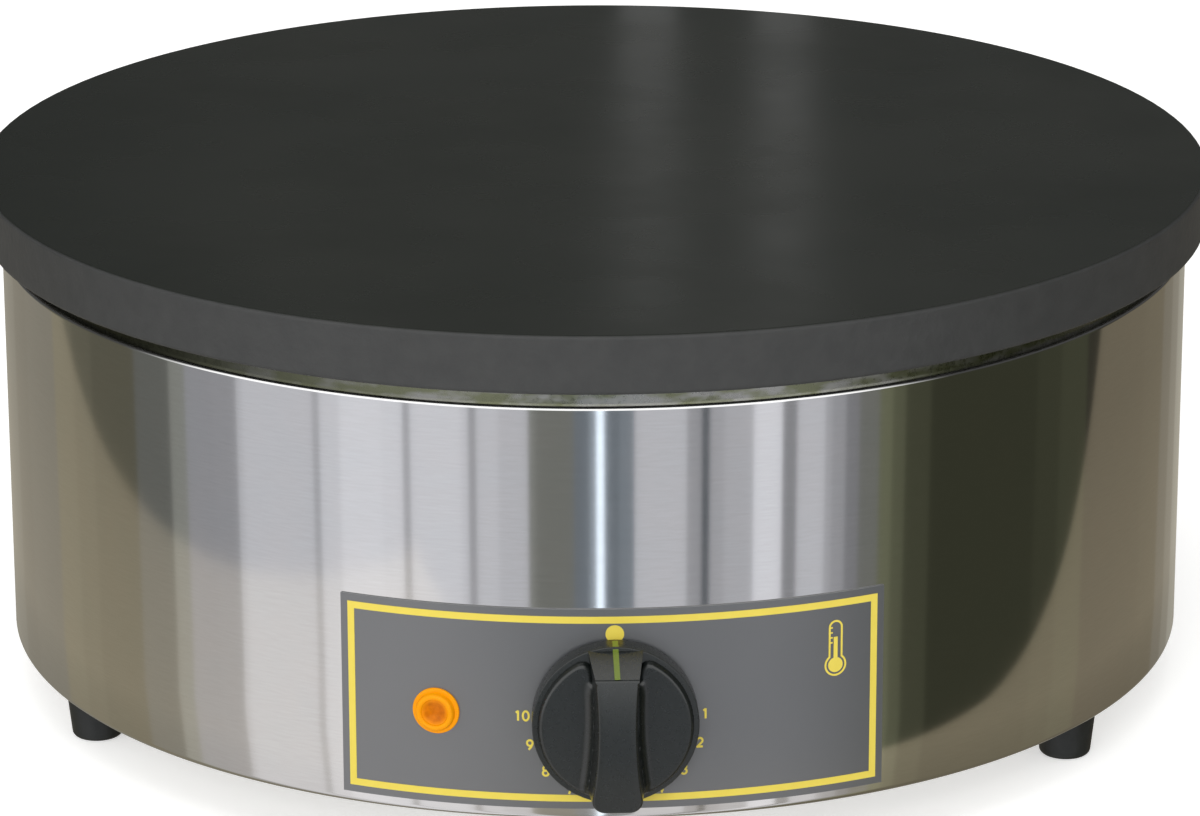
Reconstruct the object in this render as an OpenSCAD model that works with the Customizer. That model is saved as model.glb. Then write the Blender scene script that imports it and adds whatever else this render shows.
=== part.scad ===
// Electric crepe maker: a round cast-iron griddle plate on a brushed stainless drum with
// three rubber feet, and a curved control panel with a thermostat knob and a pilot lamp.
// Millimetres. z = 0 is the table top, z points up, and the control panel faces -y.
// Angles "from the front" are seen from above: 0 is the front, and positive is to the right.

/* [Griddle plate] */
// Diameter of the cast-iron plate
plate_d = 400; // [390:1:440]
// Thickness of the plate
plate_t = 18.4; // [16:0.1:30]
// Radius of the plate's rounded edges
plate_edge_r = 1.2; // [0.5:0.1:3]
// How far the plate stands out past the casing
plate_overhang = 6.2; // [3:0.1:10]
// Open gap between the casing's rim and the plate
plate_gap = 5.6; // [5:0.1:9]
// Radius of the three bosses under the plate
boss_r = 11; // [8:0.5:13]
// Distance from the plate's edge in to the bosses' centres
boss_inset = 50; // [46:1:54]

/* [Casing] */
// Height of the drum
casing_h = 131.8; // [120:0.1:160]
// Thickness of the drum's sheet
casing_wall = 1; // [0.8:0.1:1.5]
// Outside radius of the bend at the drum's upper rim
rim_bend_r = 1.2; // [1.2:0.1:4]
// Outside radius of the bend at the drum's lower edge
foot_bend_r = 2; // [1.6:0.2:3]
// Width of the flange that is turned in at the top
top_flange_w = 21.8; // [19:0.2:22.4]
// Width of the flange that is turned in at the bottom
bottom_flange_w = 27; // [25:0.5:32]

/* [Base plate] */
// Thickness of the base plate
base_t = 1.2; // [1:0.1:2]
// Gap between the base plate and the drum's wall
base_gap = 1.5; // [1.2:0.1:3]
// Number of cooling slots
vent_count = 24; // [12:1:30]
// Width of a cooling slot
vent_w = 5; // [3:0.5:6]
// Radius at which the cooling slots start
vent_r = 60; // [45:1:64]
// Length of a cooling slot
vent_len = 40; // [30:1:44]

/* [Feet] */
// Height of the rubber feet
foot_h = 16; // [14:0.5:24]
// Radius of a foot where it meets the casing
foot_top_r = 9.75; // [9:0.25:11]
// Radius of a foot at the table
foot_tip_r = 8.25; // [7.75:0.25:9]
// Radius of the rounding at the foot's tip
foot_round = 2; // [1:0.25:2.5]
// Distance from the drum's surface in to the feet's centres
foot_inset = 13.8; // [13:0.1:15]
// How far the feet are turned from the front
feet_turn = -5.1; // [-8:0.1:8]
// Diameter of the screws that hold the feet
foot_screw_d = 4; // [3:0.5:4.5]

/* [Heat tray] */
// Thickness of the tray's sheet
tray_t = 0.8; // [0.6:0.1:1]
// Depth of the tray, from the top of its rim to its underside
tray_depth = 33; // [30:0.5:38]
// Gap between the tray's wall and the drum's top flange
tray_gap = 1; // [0.6:0.1:1.2]
// Gap between the tray's collar and the start of the drum's bend
tray_rim_gap = 0.8; // [0.3:0.1:4]
// Gap between the top of the tray's collar and the plate
collar_gap = 0.5; // [0.3:0.1:2]
// Thickness of the insulation pad
pad_t = 20; // [16:0.5:21]
// Gap round the insulation pad
pad_gap = 2; // [1:0.5:4]

/* [Heating element] */
// Diameter of the element's tube
element_d = 8.5; // [6.5:0.5:9]
// Radius of the element's first half turn
element_r = 40; // [38:1:44]
// Distance between two turns of the element
element_pitch = 20; // [18:1:26]
// Radius of the bends down to the element's cold ends
element_bend_r = 14; // [10:0.5:15]
// How far the element is turned from the front
element_turn = 60; // [50:1:70]
// Gap that is left above and below the element
element_gap = 0.1; // [0.1:0.05:0.5]
// Thickness of the star that clamps the element
star_t = 2; // [1.5:0.5:3]
// Width of the star's arms
star_arm_w = 20; // [16:1:22]
// Outer radius of the star's hub
star_hub_r = 20; // [16:1:21]
// Radius of the hole in the star's hub
star_hole_r = 13; // [8:1:14]

/* [Studs and tie bolts] */
// Diameter of the plate's studs
stud_d = 8; // [6:1:8]
// Depth of the blind holes that hold the studs
stud_depth = 18; // [14:0.5:22]
// Outer diameter of the spacer sleeves
sleeve_d = 15; // [13:1:17]
// Distance from the plate's edge in to the tie bolts
tie_inset = 80; // [76:1:84]
// Diameter of the tie bolts
tie_d = 6; // [5:1:6]

/* [Control panel] */
// Width of the panel, along the curve
panel_w = 170; // [160:1:200]
// Height of the panel
panel_h = 64.3; // [58:0.1:80]
// Distance from the drum's lower edge to the panel
panel_lift = 4; // [2.5:0.1:8]
// Thickness of the panel
panel_t = 0.5; // [0.3:0.1:0.8]
// Thickness of the glue between the drum and the panel
glue_t = 0.1; // [0.05:0.05:0.3]
// Thickness of the raised print
print_t = 0.1; // [0.1:0.05:0.2]
// Width of the yellow border line
border_w = 2.2; // [1:0.1:3]
// Distance from the panel's edge to the border line
border_inset = 2.3; // [1:0.1:3]
// Height of the knob's axis above the panel's lower edge
dial_lift = 29.8; // [28.5:0.1:32]
// Radius of the circle that the numerals stand on
dial_r = 27.4; // [26.8:0.1:28]
// Height of a numeral
numeral_h = 3.2; // [2.5:0.1:4]
// Width of the numerals' strokes
numeral_line = 0.65; // [0.3:0.05:0.7]
// Diameter of the off mark
off_dot_d = 5.6; // [3:0.1:5.6]
// Distance from the knob's axis up to the off mark
off_dot_r = 26.65; // [25.5:0.05:26.8]
// Distance from the knob's axis to the thermometer sign, along the curve
thermometer_x = 68.7; // [50:0.1:72]
// Height of the thermometer sign
thermometer_h = 18; // [12:0.5:20]
// Height of the sign's bulb centre above the knob's axis
thermometer_lift = 11.3; // [5:0.1:12]

/* [Knob] */
// Diameter of the knob's skirt
knob_d = 50.4; // [49:0.1:51]
// Gap between the drum's surface and the skirt
knob_gap = 1.5; // [1.2:0.1:3]
// Height of the skirt
skirt_h = 6.5; // [5.5:0.1:8]
// Radius of the raised cheeks
cheek_r = 23.3; // [21.2:0.1:23.6]
// Height of the cheeks above the skirt
cheek_h = 2.3; // [1.9:0.1:4]
// Depth of the finger hollows in the cheeks
scoop_depth = 1.7; // [1:0.1:1.8]
// Width of the notch in front of the pointer
notch_w = 14; // [13:0.5:18]
// Height of the grip bar above the skirt
bar_h = 17.4; // [14:0.1:20]
// Length of the grip bar's pointer half, at its face
bar_half = 20.6; // [18.5:0.1:21]
// Length of the bar's lower half, which has no pointer
bar_tail = 22.2; // [20.6:0.1:22.8]
// How far the bar's pointer end slopes out, from its face to its foot
bar_slope = 3.4; // [2:0.1:3.6]
// Width of the grip bar at its pointer end
bar_top_w = 13.2; // [12:0.1:15]
// Width of the grip bar at its waist
bar_waist_w = 11.7; // [11:0.1:13.4]
// Width of the grip bar at its lower end
bar_low_w = 16; // [14:0.1:17.5]
// Radius of the arch along the bar's face
bar_arch_r = 120; // [100:5:400]
// Width of the pointer line
pointer_w = 1.7; // [1:0.1:2.5]
// Depth of the pointer's inlay
pointer_t = 0.3; // [0.2:0.05:0.5]
// Thickness of the skirt's front
knob_web = 2; // [1.6:0.1:2.4]
// Thickness of the skirt's rim
knob_rim = 3; // [2:0.1:3.5]

/* [Thermostat] */
// Diameter of the spindle
spindle_d = 6; // [5:0.5:6]
// Depth of the flat on the spindle
spindle_flat = 1.4; // [1:0.1:1.6]
// Clearance round the turning spindle
spindle_clear = 0.05; // [0.02:0.01:0.09]
// How far the spindle reaches into the knob
spindle_reach = 15; // [12:0.5:18]
// Width of the thermostat's body
thermostat_w = 38; // [34:1:40]
// Height of the thermostat's body
thermostat_h = 36; // [34:0.5:38]
// Depth of the thermostat's body
thermostat_depth = 26; // [22:1:30]
// Width of the thermostat's mounting plate
mount_plate_w = 30; // [26:1:32]
// Thickness of the mounting plate
mount_plate_t = 1.5; // [1:0.1:2]
// Distance from the spindle to each fixing screw
thermostat_screw_y = 14; // [13:0.5:14.5]
// Diameter of the small machine screws
screw_d = 4; // [3:0.5:4]

/* [Sensing bulb] */
// Diameter of the sensing bulb
bulb_d = 6; // [4:0.5:6]
// Length of the sensing bulb
bulb_len = 36; // [30:1:38]
// Diameter of the capillary tube
capillary_d = 1.6; // [1.2:0.1:2]
// Thickness of the bulb's clip
clip_t = 0.9; // [0.6:0.1:1]
// Width of the bulb's clip
clip_w = 14; // [12:1:18]

/* [Pilot lamp] */
// Distance from the knob's axis to the lamp, along the curve
pilot_x = 54.2; // [50:0.1:60]
// Diameter of the lens where it meets the panel
lens_d = 14.6; // [13:0.1:16]
// Diameter of the lens's face
lens_face_d = 12; // [10:0.1:12.6]
// Height of the lens above the panel
lens_h = 2.9; // [2:0.1:4]
// Diameter of the lamp's body
pilot_d = 9.8; // [9:0.1:11]
// Length of the lamp's body behind the panel
pilot_len = 24; // [20:1:30]

/* [Supply inlet] */
// Height of the cable gland above the drum's lower edge
gland_lift = 34; // [26:0.5:60]
// Diameter of the gland's thread
gland_d = 20; // [18:0.5:20]
// Distance across the flats of the gland's hexagons
gland_hex = 24; // [23:0.5:27]
// Bore of the gland's seal
cable_d = 9.2; // [7:0.1:9.4]
// Length of the dome nut
dome_len = 19; // [17:0.5:22]
// Distance from the drum's axis to the terminal block
block_y = 136; // [128:1:140]
// Width of the terminal block
block_w = 46; // [42:1:54]
// Depth of the terminal block
block_depth = 20; // [18:0.5:24]
// Height of the terminal block
block_h = 15; // [14:0.5:20]
// Distance between the block's poles
pole_pitch = 12; // [11:0.5:13]

/* [Hidden] */
$fn = 96;
cut = 1; // how far a cutter runs past the face that it cuts
hole_clear = 0.2; // clearance round screws, bolts and sleeves in their holes
thread_clear = 0.05; // clearance of a thread in its threaded hole
fit_clear = 0.1; // clearance of parts that are pushed together

plate_r = plate_d / 2;
casing_r = plate_r - plate_overhang;
casing_in_r = casing_r - casing_wall;
z_case = foot_h;
z_rim = z_case + casing_h;
z_plate = z_rim + plate_gap;
z_top = z_plate + plate_t;
boss_h = element_d + 2 * element_gap;
boss_circle_r = plate_r - boss_inset;
boss_angles = [60, 180, 300];
z_boss = z_plate - boss_h;
z_star = z_boss - star_t;
z_element = z_plate - element_gap - element_d / 2;

tray_r = casing_r - top_flange_w - tray_gap;
tray_rim_r = casing_r - rim_bend_r - tray_rim_gap;
z_tray_rim = z_rim + tray_t;
z_tray = z_tray_rim - tray_depth;
z_tray_floor = z_tray + tray_t;

z_base = z_case + casing_wall;
z_base_top = z_base + base_t;
base_r = casing_in_r - base_gap;
foot_circle_r = casing_r - foot_inset;
foot_angles = [-60 + feet_turn, 60 + feet_turn, 180 + feet_turn];
base_screw_angles = [feet_turn, 120 + feet_turn, 240 + feet_turn];
tie_circle_r = plate_r - tie_inset;
tie_angles = [0, 120, 240];

// Fasteners: washer and nut sizes follow the usual proportions of metric parts.
function washer_r(d) = d * 1.05;
function washer_t(d) = d * 0.2;
function nut_r(d) = d * 0.94;
function nut_t(d) = d * 0.8;
function head_r(d) = d * 0.95;
function head_t(d) = d * 0.6;
end_past_nut = 2; // how far a screw's end stands out of its nut

foot_hole_r = foot_screw_d / 2 + hole_clear;
foot_recess_r = washer_r(foot_screw_d) + hole_clear;
foot_recess_h = foot_h / 2;

element_q = element_pitch / 4;
element_room = boss_circle_r - boss_r - 1 - element_d / 2 - element_q - element_r;
half_turns = 1 + floor(element_room / (element_pitch / 2));
element_last_r = element_r + (half_turns - 1) * element_pitch / 2;
odd_turns = half_turns % 2 == 1;
leg_out = 8; // how far a cold end stands out under the tray
z_leg = z_tray - leg_out;
insulator_h = 9;
pin_d = 3;
pin_len = 22;
pin_nut_drop = 14; // distance from the cold end to the terminal nut's lower face
function spin(p, a) = [p.x * cos(a) - p.y * sin(a), p.x * sin(a) + p.y * cos(a)];
inner_leg = spin([element_r - element_q, -element_bend_r], element_turn);
outer_leg_x = (odd_turns ? -1 : 1) * (element_last_r + element_q);
outer_leg_y = (odd_turns ? -1 : 1) * element_bend_r;
outer_leg = spin([outer_leg_x, outer_leg_y], element_turn);
leg_hole_r = element_d / 2 + 1;

z_panel = z_case + panel_lift;
z_dial = z_panel + dial_lift;
panel_face = glue_t + panel_t; // height of the panel's face above the drum
panel_r = casing_r + panel_face;
print_r = panel_r + print_t;
deg_per_mm = 180 / (PI * panel_r);
pilot_angle = -pilot_x * deg_per_mm;
thermometer_angle = thermometer_x * deg_per_mm;
first_numeral_angle = 90;
numeral_step = 20;
wide_numeral_shift = 0.75; // two figures stand further out than one
lowest_numeral = dial_lift - border_inset - border_w - numeral_h / 2 - 0.3; // clears the border
numerals = ["1", "2", "3", "4", "5", "6", "7", "8", "9", "10"];
spindle_hole_r = 6;
pilot_hole_r = pilot_d / 2 + fit_clear;
gland_hole_r = gland_d / 2 + hole_clear;
z_gland = z_case + gland_lift;

knob_r = knob_d / 2;
knob_front = knob_gap + skirt_h;
knob_recess_r = knob_r - knob_rim;
hub_r = 6.5;
bar_corner_r = 4;
bar_foot = bar_half + bar_slope;
bar_end_drop = bar_arch_r - sqrt(bar_arch_r * bar_arch_r - bar_half * bar_half);
pointer_end_gap = 0.2; // how far the line ends below the bar's face
bar_steps = 12;
scoop_r = 30;
scoop_x = 13.5;
notch_y = 12;
skirt_edge_r = 0.8;
cheek_edge_r = 0.9;
plate_back = casing_wall + mount_plate_w * mount_plate_w / (8 * casing_in_r) + fit_clear;
thermostat_front = plate_back + mount_plate_t;
thermostat_back = thermostat_front + thermostat_depth;
spindle_in = 15; // how far the spindle reaches behind the mounting plate
spring_t = 0.4;
tab_w = 6.3;
tab_t = 0.8;
tab_len = 9;
tab_x = 9; // distance from the thermostat's middle to each of its tabs

z_bulb = z_plate - bulb_d / 2 - element_gap;
clip_screw_x = bulb_d / 2 + clip_t + 6;
clip_flange = clip_screw_x + 5;
clip_screw_depth = 8;
capillary_bend = 7; // distance from the bulb's end to the capillary's drop
capillary_drop = bulb_len / 2 + capillary_bend;
capillary_hole_r = capillary_d / 2 + 2;
capillary_x = 8; // where the capillary enters the thermostat

gland_collar_t = 5;
gland_inside = 11;
gland_outer_len = 9;
gland_outer_r = gland_d / 2 - 1;
gland_bore_r = cable_d / 2 + 1.2;
seal_r = 7.2;
seal_start = 7;
seal_len = 10;
dome_start = gland_collar_t + 1;
dome_hex_len = 8;
dome_hole_r = cable_d / 2 + 0.5;
dome_tip_r = 8;
locknut_t = 5;
locknut_gap = 0.6; // clears the curve of the drum behind the flat nut

earth_x = 62;
earth_y = 112;
earth_d = 5;
earth_len = 18;
block_screw_x = block_w / 2 - 4;
insert_r = 3.4;
insert_bore_r = 1.9;
block_clamp_d = 3;
wire_d = 2.6;
wire_sides = 8;
wire_rounding = 4; // rings for each point of a route
end_gap = 0.3; // gap between a wire's end and its terminal

steel = [0.72, 0.73, 0.74];
dark_iron = [0.2, 0.21, 0.2];
zinc_yellow = [0.6, 0.56, 0.38];
black_plastic = [0.16, 0.17, 0.17];
print_yellow = [0.96, 0.86, 0.35];
amber = [1, 0.6, 0.05];
panel_grey = [0.45, 0.46, 0.47];
rubber_grey = [0.17, 0.18, 0.18];
brass = [0.8, 0.66, 0.35];
ceramic = [0.9, 0.88, 0.84];
copper = [0.75, 0.5, 0.35];

// Places children on a circle round the drum's axis, at each of the given angles.
module around(angles, r) {
    for (a = angles) {
        rotate([0, 0, a]) translate([0, -r, 0]) children();
    }
}

// Places children on the drum's surface: their z points outwards and their y points up.
module on_drum(angle, z) {
    rotate([0, 0, angle]) translate([0, -casing_r, z]) rotate([90, 0, 0]) children();
}

// A piece of the drum's curve, centred on the front.
module curved_sheet(width, height, r_in, r_out) {
    half = width / 2 * deg_per_mm;
    rotate([0, 0, -90 - half])
        rotate_extrude(angle = 2 * half) translate([r_in, 0]) square([r_out - r_in, height]);
}

module tube(r_out, r_in, h) {
    difference() {
        cylinder(r = r_out, h = h);
        translate([0, 0, -cut]) cylinder(r = r_in, h = h + 2 * cut);
    }
}

module hexagon_bar(across_flats, h) {
    cylinder(d = across_flats / cos(30), h = h, $fn = 6);
}

module hex_nut(d) {
    difference() {
        hexagon_bar(2 * nut_r(d) * cos(30), nut_t(d));
        translate([0, 0, -cut]) cylinder(r = d / 2 + thread_clear, h = nut_t(d) + 2 * cut);
    }
}

module washer(d) {
    tube(washer_r(d), d / 2 + hole_clear, washer_t(d));
}

// A pan-head screw whose head sits on z = 0 and whose shank points up.
module pan_screw(d, length) {
    head_h = head_t(d);
    edge = head_h * 0.35;
    difference() {
        union() {
            translate([0, 0, -head_h + edge]) cylinder(r = head_r(d), h = head_h - edge);
            translate([0, 0, -head_h]) cylinder(r1 = head_r(d) - edge, r2 = head_r(d), h = edge);
        }
        for (a = [0, 90]) {
            rotate([0, 0, a]) translate([-d * 0.6, -d * 0.1, -head_h - cut])
                cube([d * 1.2, d * 0.2, head_h * 0.4 + cut]);
        }
    }
    cylinder(d = d, h = length);
}

// Points of an arc, for rounded corners in a profile.
function arc_points(cx, cy, r, a0, a1, n) =
    [for (i = [0 : n]) let (a = a0 + (a1 - a0) * i / n) [cx + r * cos(a), cy + r * sin(a)]];

// A smooth curve through points, and a tube along it.
function unit(v) = v / norm(v);
function point_at(p, i) = p[max(0, min(len(p) - 1, i))];
function curve_point(p, i, t) =
    let (a = point_at(p, i - 1), b = point_at(p, i), c = point_at(p, i + 1), d = point_at(p, i + 2))
    0.5 * (2 * b + (c - a) * t + (2 * a - 5 * b + 4 * c - d) * t * t
        + (3 * b - a - 3 * c + d) * t * t * t);
function smooth_path(p, n) = concat(
    [for (i = [0 : len(p) - 2], k = [0 : n - 1]) curve_point(p, i, k / n)],
    [p[len(p) - 1]]
);
function tangents(p) = [for (i = [0 : len(p) - 1]) unit(point_at(p, i + 1) - point_at(p, i - 1))];
function carried_normals(t, n, i = 0) =
    i == len(t) ? [] : let (m = unit(n - (n * t[i]) * t[i])) concat([m], carried_normals(t, m, i + 1));
function side_of(t) = abs(t.z) > 0.9 ? [1, 0, 0] : [0, 0, 1];

module swept_wire(route, d) {
    path = smooth_path(route, wire_rounding);
    t = tangents(path);
    n = carried_normals(t, side_of(t[0]));
    s = wire_sides;
    rings = len(path);
    points = [for (i = [0 : rings - 1], k = [0 : s - 1])
        path[i] + d / 2 * (cos(360 * k / s) * n[i] + sin(360 * k / s) * cross(t[i], n[i]))];
    sides = [for (i = [0 : rings - 2], k = [0 : s - 1])
        [i * s + k, (i + 1) * s + k, (i + 1) * s + (k + 1) % s, i * s + (k + 1) % s]];
    first = [for (k = [0 : s - 1]) k];
    last = [for (k = [s - 1 : -1 : 0]) (rings - 1) * s + k];
    polyhedron(points = points, faces = concat(sides, [first, last]));
}

// ---- Griddle plate and what hangs under it ----

module griddle_plate() {
    e = plate_edge_r;
    profile = concat(
        [[0, z_plate]],
        arc_points(plate_r - e, z_plate + e, e, -90, 0, 6),
        arc_points(plate_r - e, z_top - e, e, 0, 90, 6),
        [[0, z_top]]
    );
    color(dark_iron) difference() {
        union() {
            rotate_extrude() polygon(profile);
            around(boss_angles, boss_circle_r) translate([0, 0, z_boss]) cylinder(r = boss_r, h = boss_h + cut);
        }
        around(boss_angles, boss_circle_r)
            translate([0, 0, z_boss - cut]) cylinder(r = stud_d / 2 + thread_clear, h = stud_depth + cut);
        for (x = [-clip_screw_x, clip_screw_x]) {
            translate([x, 0, z_plate - cut])
                cylinder(r = screw_d / 2 + thread_clear, h = clip_screw_depth + cut);
        }
    }
}

stud_low = z_tray - washer_t(stud_d) - nut_t(stud_d) - end_past_nut;
stud_end_gap = 0.5; // keeps the stud off the end of its blind hole

module plate_studs() {
    color(steel) around(boss_angles, boss_circle_r) translate([0, 0, stud_low])
        cylinder(d = stud_d, h = z_boss + stud_depth - stud_end_gap - stud_low);
}

module element_clamp_star() {
    tip = boss_circle_r + boss_r;
    color(steel) difference() {
        union() {
            translate([0, 0, z_star]) cylinder(r = star_hub_r, h = star_t);
            around(boss_angles, 0)
                translate([-star_arm_w / 2, -tip, z_star]) cube([star_arm_w, tip, star_t]);
        }
        translate([0, 0, z_star - cut]) cylinder(r = star_hole_r, h = star_t + 2 * cut);
        around(boss_angles, boss_circle_r)
            translate([0, 0, z_star - cut]) cylinder(r = stud_d / 2 + hole_clear, h = star_t + 2 * cut);
    }
}

module spacer_sleeves() {
    color(steel) around(boss_angles, boss_circle_r)
        translate([0, 0, z_tray_floor]) tube(sleeve_d / 2, stud_d / 2 + hole_clear, z_star - z_tray_floor);
}

module stud_washers() {
    color(steel) around(boss_angles, boss_circle_r)
        translate([0, 0, z_tray - washer_t(stud_d)]) washer(stud_d);
}

module stud_nuts() {
    color(steel) around(boss_angles, boss_circle_r)
        translate([0, 0, z_tray - washer_t(stud_d) - nut_t(stud_d)]) hex_nut(stud_d);
}

module element_leg(x, turn) {
    translate([x, 0, 0]) rotate([0, 0, turn]) {
        translate([0, 0, z_element - element_bend_r]) rotate([180, -90, 0])
            rotate_extrude(angle = 90) translate([element_bend_r, 0]) circle(d = element_d);
        translate([0, -element_bend_r, z_leg])
            cylinder(d = element_d, h = z_element - element_bend_r - z_leg);
    }
}

module heating_element() {
    color(copper) rotate([0, 0, element_turn]) {
        for (k = [0 : half_turns - 1]) {
            odd = k % 2 == 1;
            translate([odd ? element_q : -element_q, 0, z_element]) rotate([0, 0, odd ? 180 : 0])
                rotate_extrude(angle = 180)
                translate([element_r + k * element_pitch / 2, 0]) circle(d = element_d);
        }
        element_leg(element_r - element_q, 0);
        element_leg(outer_leg_x, odd_turns ? 0 : 180);
    }
}

// Places children under both cold ends of the element.
module at_legs(drop) {
    for (p = [inner_leg, outer_leg]) {
        translate([p.x, p.y, z_leg - drop]) children();
    }
}

module element_insulators() {
    color(ceramic) at_legs(insulator_h) tube(element_d / 2, pin_d / 2 + fit_clear, insulator_h);
}

module element_pins() {
    color(steel) at_legs(pin_len) cylinder(d = pin_d, h = pin_len);
}

module element_pin_nuts() {
    color(brass) at_legs(pin_nut_drop) hex_nut(pin_d);
}

module insulation_pad() {
    pad_r = tray_r - tray_t - pad_gap;
    color(ceramic) translate([0, 0, z_tray_floor]) difference() {
        cylinder(r = pad_r, h = pad_t);
        around(boss_angles, boss_circle_r)
            translate([0, 0, -cut]) cylinder(r = sleeve_d / 2 + 1, h = pad_t + 2 * cut);
        around(tie_angles, tie_circle_r)
            translate([0, 0, -cut]) cylinder(r = nut_r(tie_d) + 1, h = pad_t + 2 * cut);
        for (p = [inner_leg, outer_leg]) {
            translate([p.x, p.y, -cut]) cylinder(r = leg_hole_r, h = pad_t + 2 * cut);
        }
        translate([0, -capillary_drop, -cut]) cylinder(r = capillary_hole_r, h = pad_t + 2 * cut);
    }
}

// ---- Tray, drum and base ----

module heat_tray() {
    color(zinc_yellow) difference() {
        rotate_extrude() {
            translate([0, z_tray]) square([tray_r, tray_t]);
            translate([tray_r - tray_t, z_tray]) square([tray_t, tray_depth]);
            translate([tray_r - tray_t, z_rim]) square([tray_rim_r - tray_r + tray_t, tray_t]);
            translate([tray_rim_r - tray_t, z_rim]) square([tray_t, z_plate - collar_gap - z_rim]);
        }
        around(boss_angles, boss_circle_r) translate([0, 0, z_tray - cut])
            cylinder(r = stud_d / 2 + hole_clear, h = tray_t + 2 * cut);
        around(tie_angles, tie_circle_r) translate([0, 0, z_tray - cut])
            cylinder(r = tie_d / 2 + hole_clear, h = tray_t + 2 * cut);
        for (p = [inner_leg, outer_leg]) {
            translate([p.x, p.y, z_tray - cut]) cylinder(r = leg_hole_r, h = tray_t + 2 * cut);
        }
        translate([0, -capillary_drop, z_tray - cut])
            cylinder(r = capillary_hole_r, h = tray_t + 2 * cut);
    }
}

tie_low = z_base - washer_t(tie_d) - nut_t(tie_d) - end_past_nut;

module tie_bolts() {
    color(steel) around(tie_angles, tie_circle_r) {
        translate([0, 0, z_tray_floor]) hexagon_bar(2 * nut_r(tie_d) * cos(30), head_t(tie_d));
        translate([0, 0, tie_low]) cylinder(d = tie_d, h = z_tray_floor - tie_low + head_t(tie_d) / 2);
    }
}

module tie_washers() {
    color(steel) around(tie_angles, tie_circle_r)
        translate([0, 0, z_base - washer_t(tie_d)]) washer(tie_d);
}

module tie_nuts() {
    color(steel) around(tie_angles, tie_circle_r)
        translate([0, 0, z_base - washer_t(tie_d) - nut_t(tie_d)]) hex_nut(tie_d);
}

// A quarter of a bent sheet, in the quadrant that the two signs name.
module bend_quarter(r, sx, sy) {
    intersection() {
        difference() {
            circle(r = r);
            circle(r = r - casing_wall);
        }
        translate([sx > 0 ? 0 : -r, sy > 0 ? 0 : -r]) square([r, r]);
    }
}

module casing_profile() {
    w = casing_wall;
    translate([casing_in_r, z_case + foot_bend_r]) square([w, casing_h - foot_bend_r - rim_bend_r]);
    translate([casing_r - rim_bend_r, z_rim - rim_bend_r]) bend_quarter(rim_bend_r, 1, 1);
    translate([casing_r - foot_bend_r, z_case + foot_bend_r]) bend_quarter(foot_bend_r, 1, -1);
    translate([casing_r - top_flange_w, z_rim - w]) square([top_flange_w - rim_bend_r, w]);
    translate([casing_r - bottom_flange_w, z_case]) square([bottom_flange_w - foot_bend_r, w]);
}

// Holes through the drum and the panel for the spindle, its screws and the lamp.
module front_holes() {
    deep = 12;
    on_drum(0, z_dial) {
        translate([0, 0, -deep]) cylinder(r = spindle_hole_r, h = 2 * deep);
        for (y = [-thermostat_screw_y, thermostat_screw_y]) {
            translate([0, y, -deep]) cylinder(r = screw_d / 2 + hole_clear, h = 2 * deep);
        }
    }
    on_drum(pilot_angle, z_dial) translate([0, 0, -deep]) cylinder(r = pilot_hole_r, h = 2 * deep);
}

module casing() {
    deep = 12;
    color(steel) difference() {
        rotate_extrude() casing_profile();
        front_holes();
        on_drum(180, z_gland) translate([0, 0, -deep]) cylinder(r = gland_hole_r, h = 2 * deep);
        around(foot_angles, foot_circle_r)
            translate([0, 0, z_case - cut]) cylinder(r = foot_hole_r, h = casing_wall + 2 * cut);
        around(base_screw_angles, foot_circle_r) translate([0, 0, z_case - cut])
            cylinder(r = screw_d / 2 + hole_clear, h = casing_wall + 2 * cut);
    }
}

module base_plate() {
    color(steel) translate([0, 0, z_base]) difference() {
        cylinder(r = base_r, h = base_t);
        for (i = [0 : vent_count - 1]) {
            rotate([0, 0, 360 * i / vent_count]) translate([-vent_w / 2, -vent_r - vent_len, -cut])
                cube([vent_w, vent_len, base_t + 2 * cut]);
        }
        around(foot_angles, foot_circle_r) translate([0, 0, -cut])
            cylinder(r = foot_hole_r, h = base_t + 2 * cut);
        around(base_screw_angles, foot_circle_r) translate([0, 0, -cut])
            cylinder(r = screw_d / 2 + thread_clear, h = base_t + 2 * cut);
        around(tie_angles, tie_circle_r) translate([0, 0, -cut])
            cylinder(r = tie_d / 2 + hole_clear, h = base_t + 2 * cut);
        for (x = [-block_screw_x, block_screw_x]) {
            translate([x, block_y, -cut]) cylinder(r = screw_d / 2 + thread_clear, h = base_t + 2 * cut);
        }
        translate([earth_x, earth_y, -cut])
            cylinder(r = earth_d / 2 + thread_clear, h = base_t + 2 * cut);
    }
}

base_screw_len = 9;

module base_screws() {
    color(steel) around(base_screw_angles, foot_circle_r)
        translate([0, 0, z_case]) pan_screw(screw_d, base_screw_len);
}

module foot() {
    profile = concat(
        [[foot_recess_r, 0]],
        arc_points(foot_tip_r - foot_round, foot_round, foot_round, -90, 0, 6),
        [[foot_top_r, foot_h], [foot_hole_r, foot_h], [foot_hole_r, foot_recess_h],
            [foot_recess_r, foot_recess_h]]
    );
    color(rubber_grey) rotate_extrude() polygon(profile);
}

module foot_front_left() {
    around([foot_angles[0]], foot_circle_r) foot();
}

module foot_front_right() {
    around([foot_angles[1]], foot_circle_r) foot();
}

module foot_rear() {
    around([foot_angles[2]], foot_circle_r) foot();
}

z_foot_head = foot_recess_h - washer_t(foot_screw_d);
foot_screw_len = z_base_top + nut_t(foot_screw_d) + end_past_nut - z_foot_head;

module foot_screws() {
    color(steel) around(foot_angles, foot_circle_r)
        translate([0, 0, z_foot_head]) pan_screw(foot_screw_d, foot_screw_len);
}

module foot_washers() {
    color(steel) around(foot_angles, foot_circle_r) translate([0, 0, z_foot_head]) washer(foot_screw_d);
}

module foot_nuts() {
    color(steel) around(foot_angles, foot_circle_r) translate([0, 0, z_base_top]) hex_nut(foot_screw_d);
}

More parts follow.
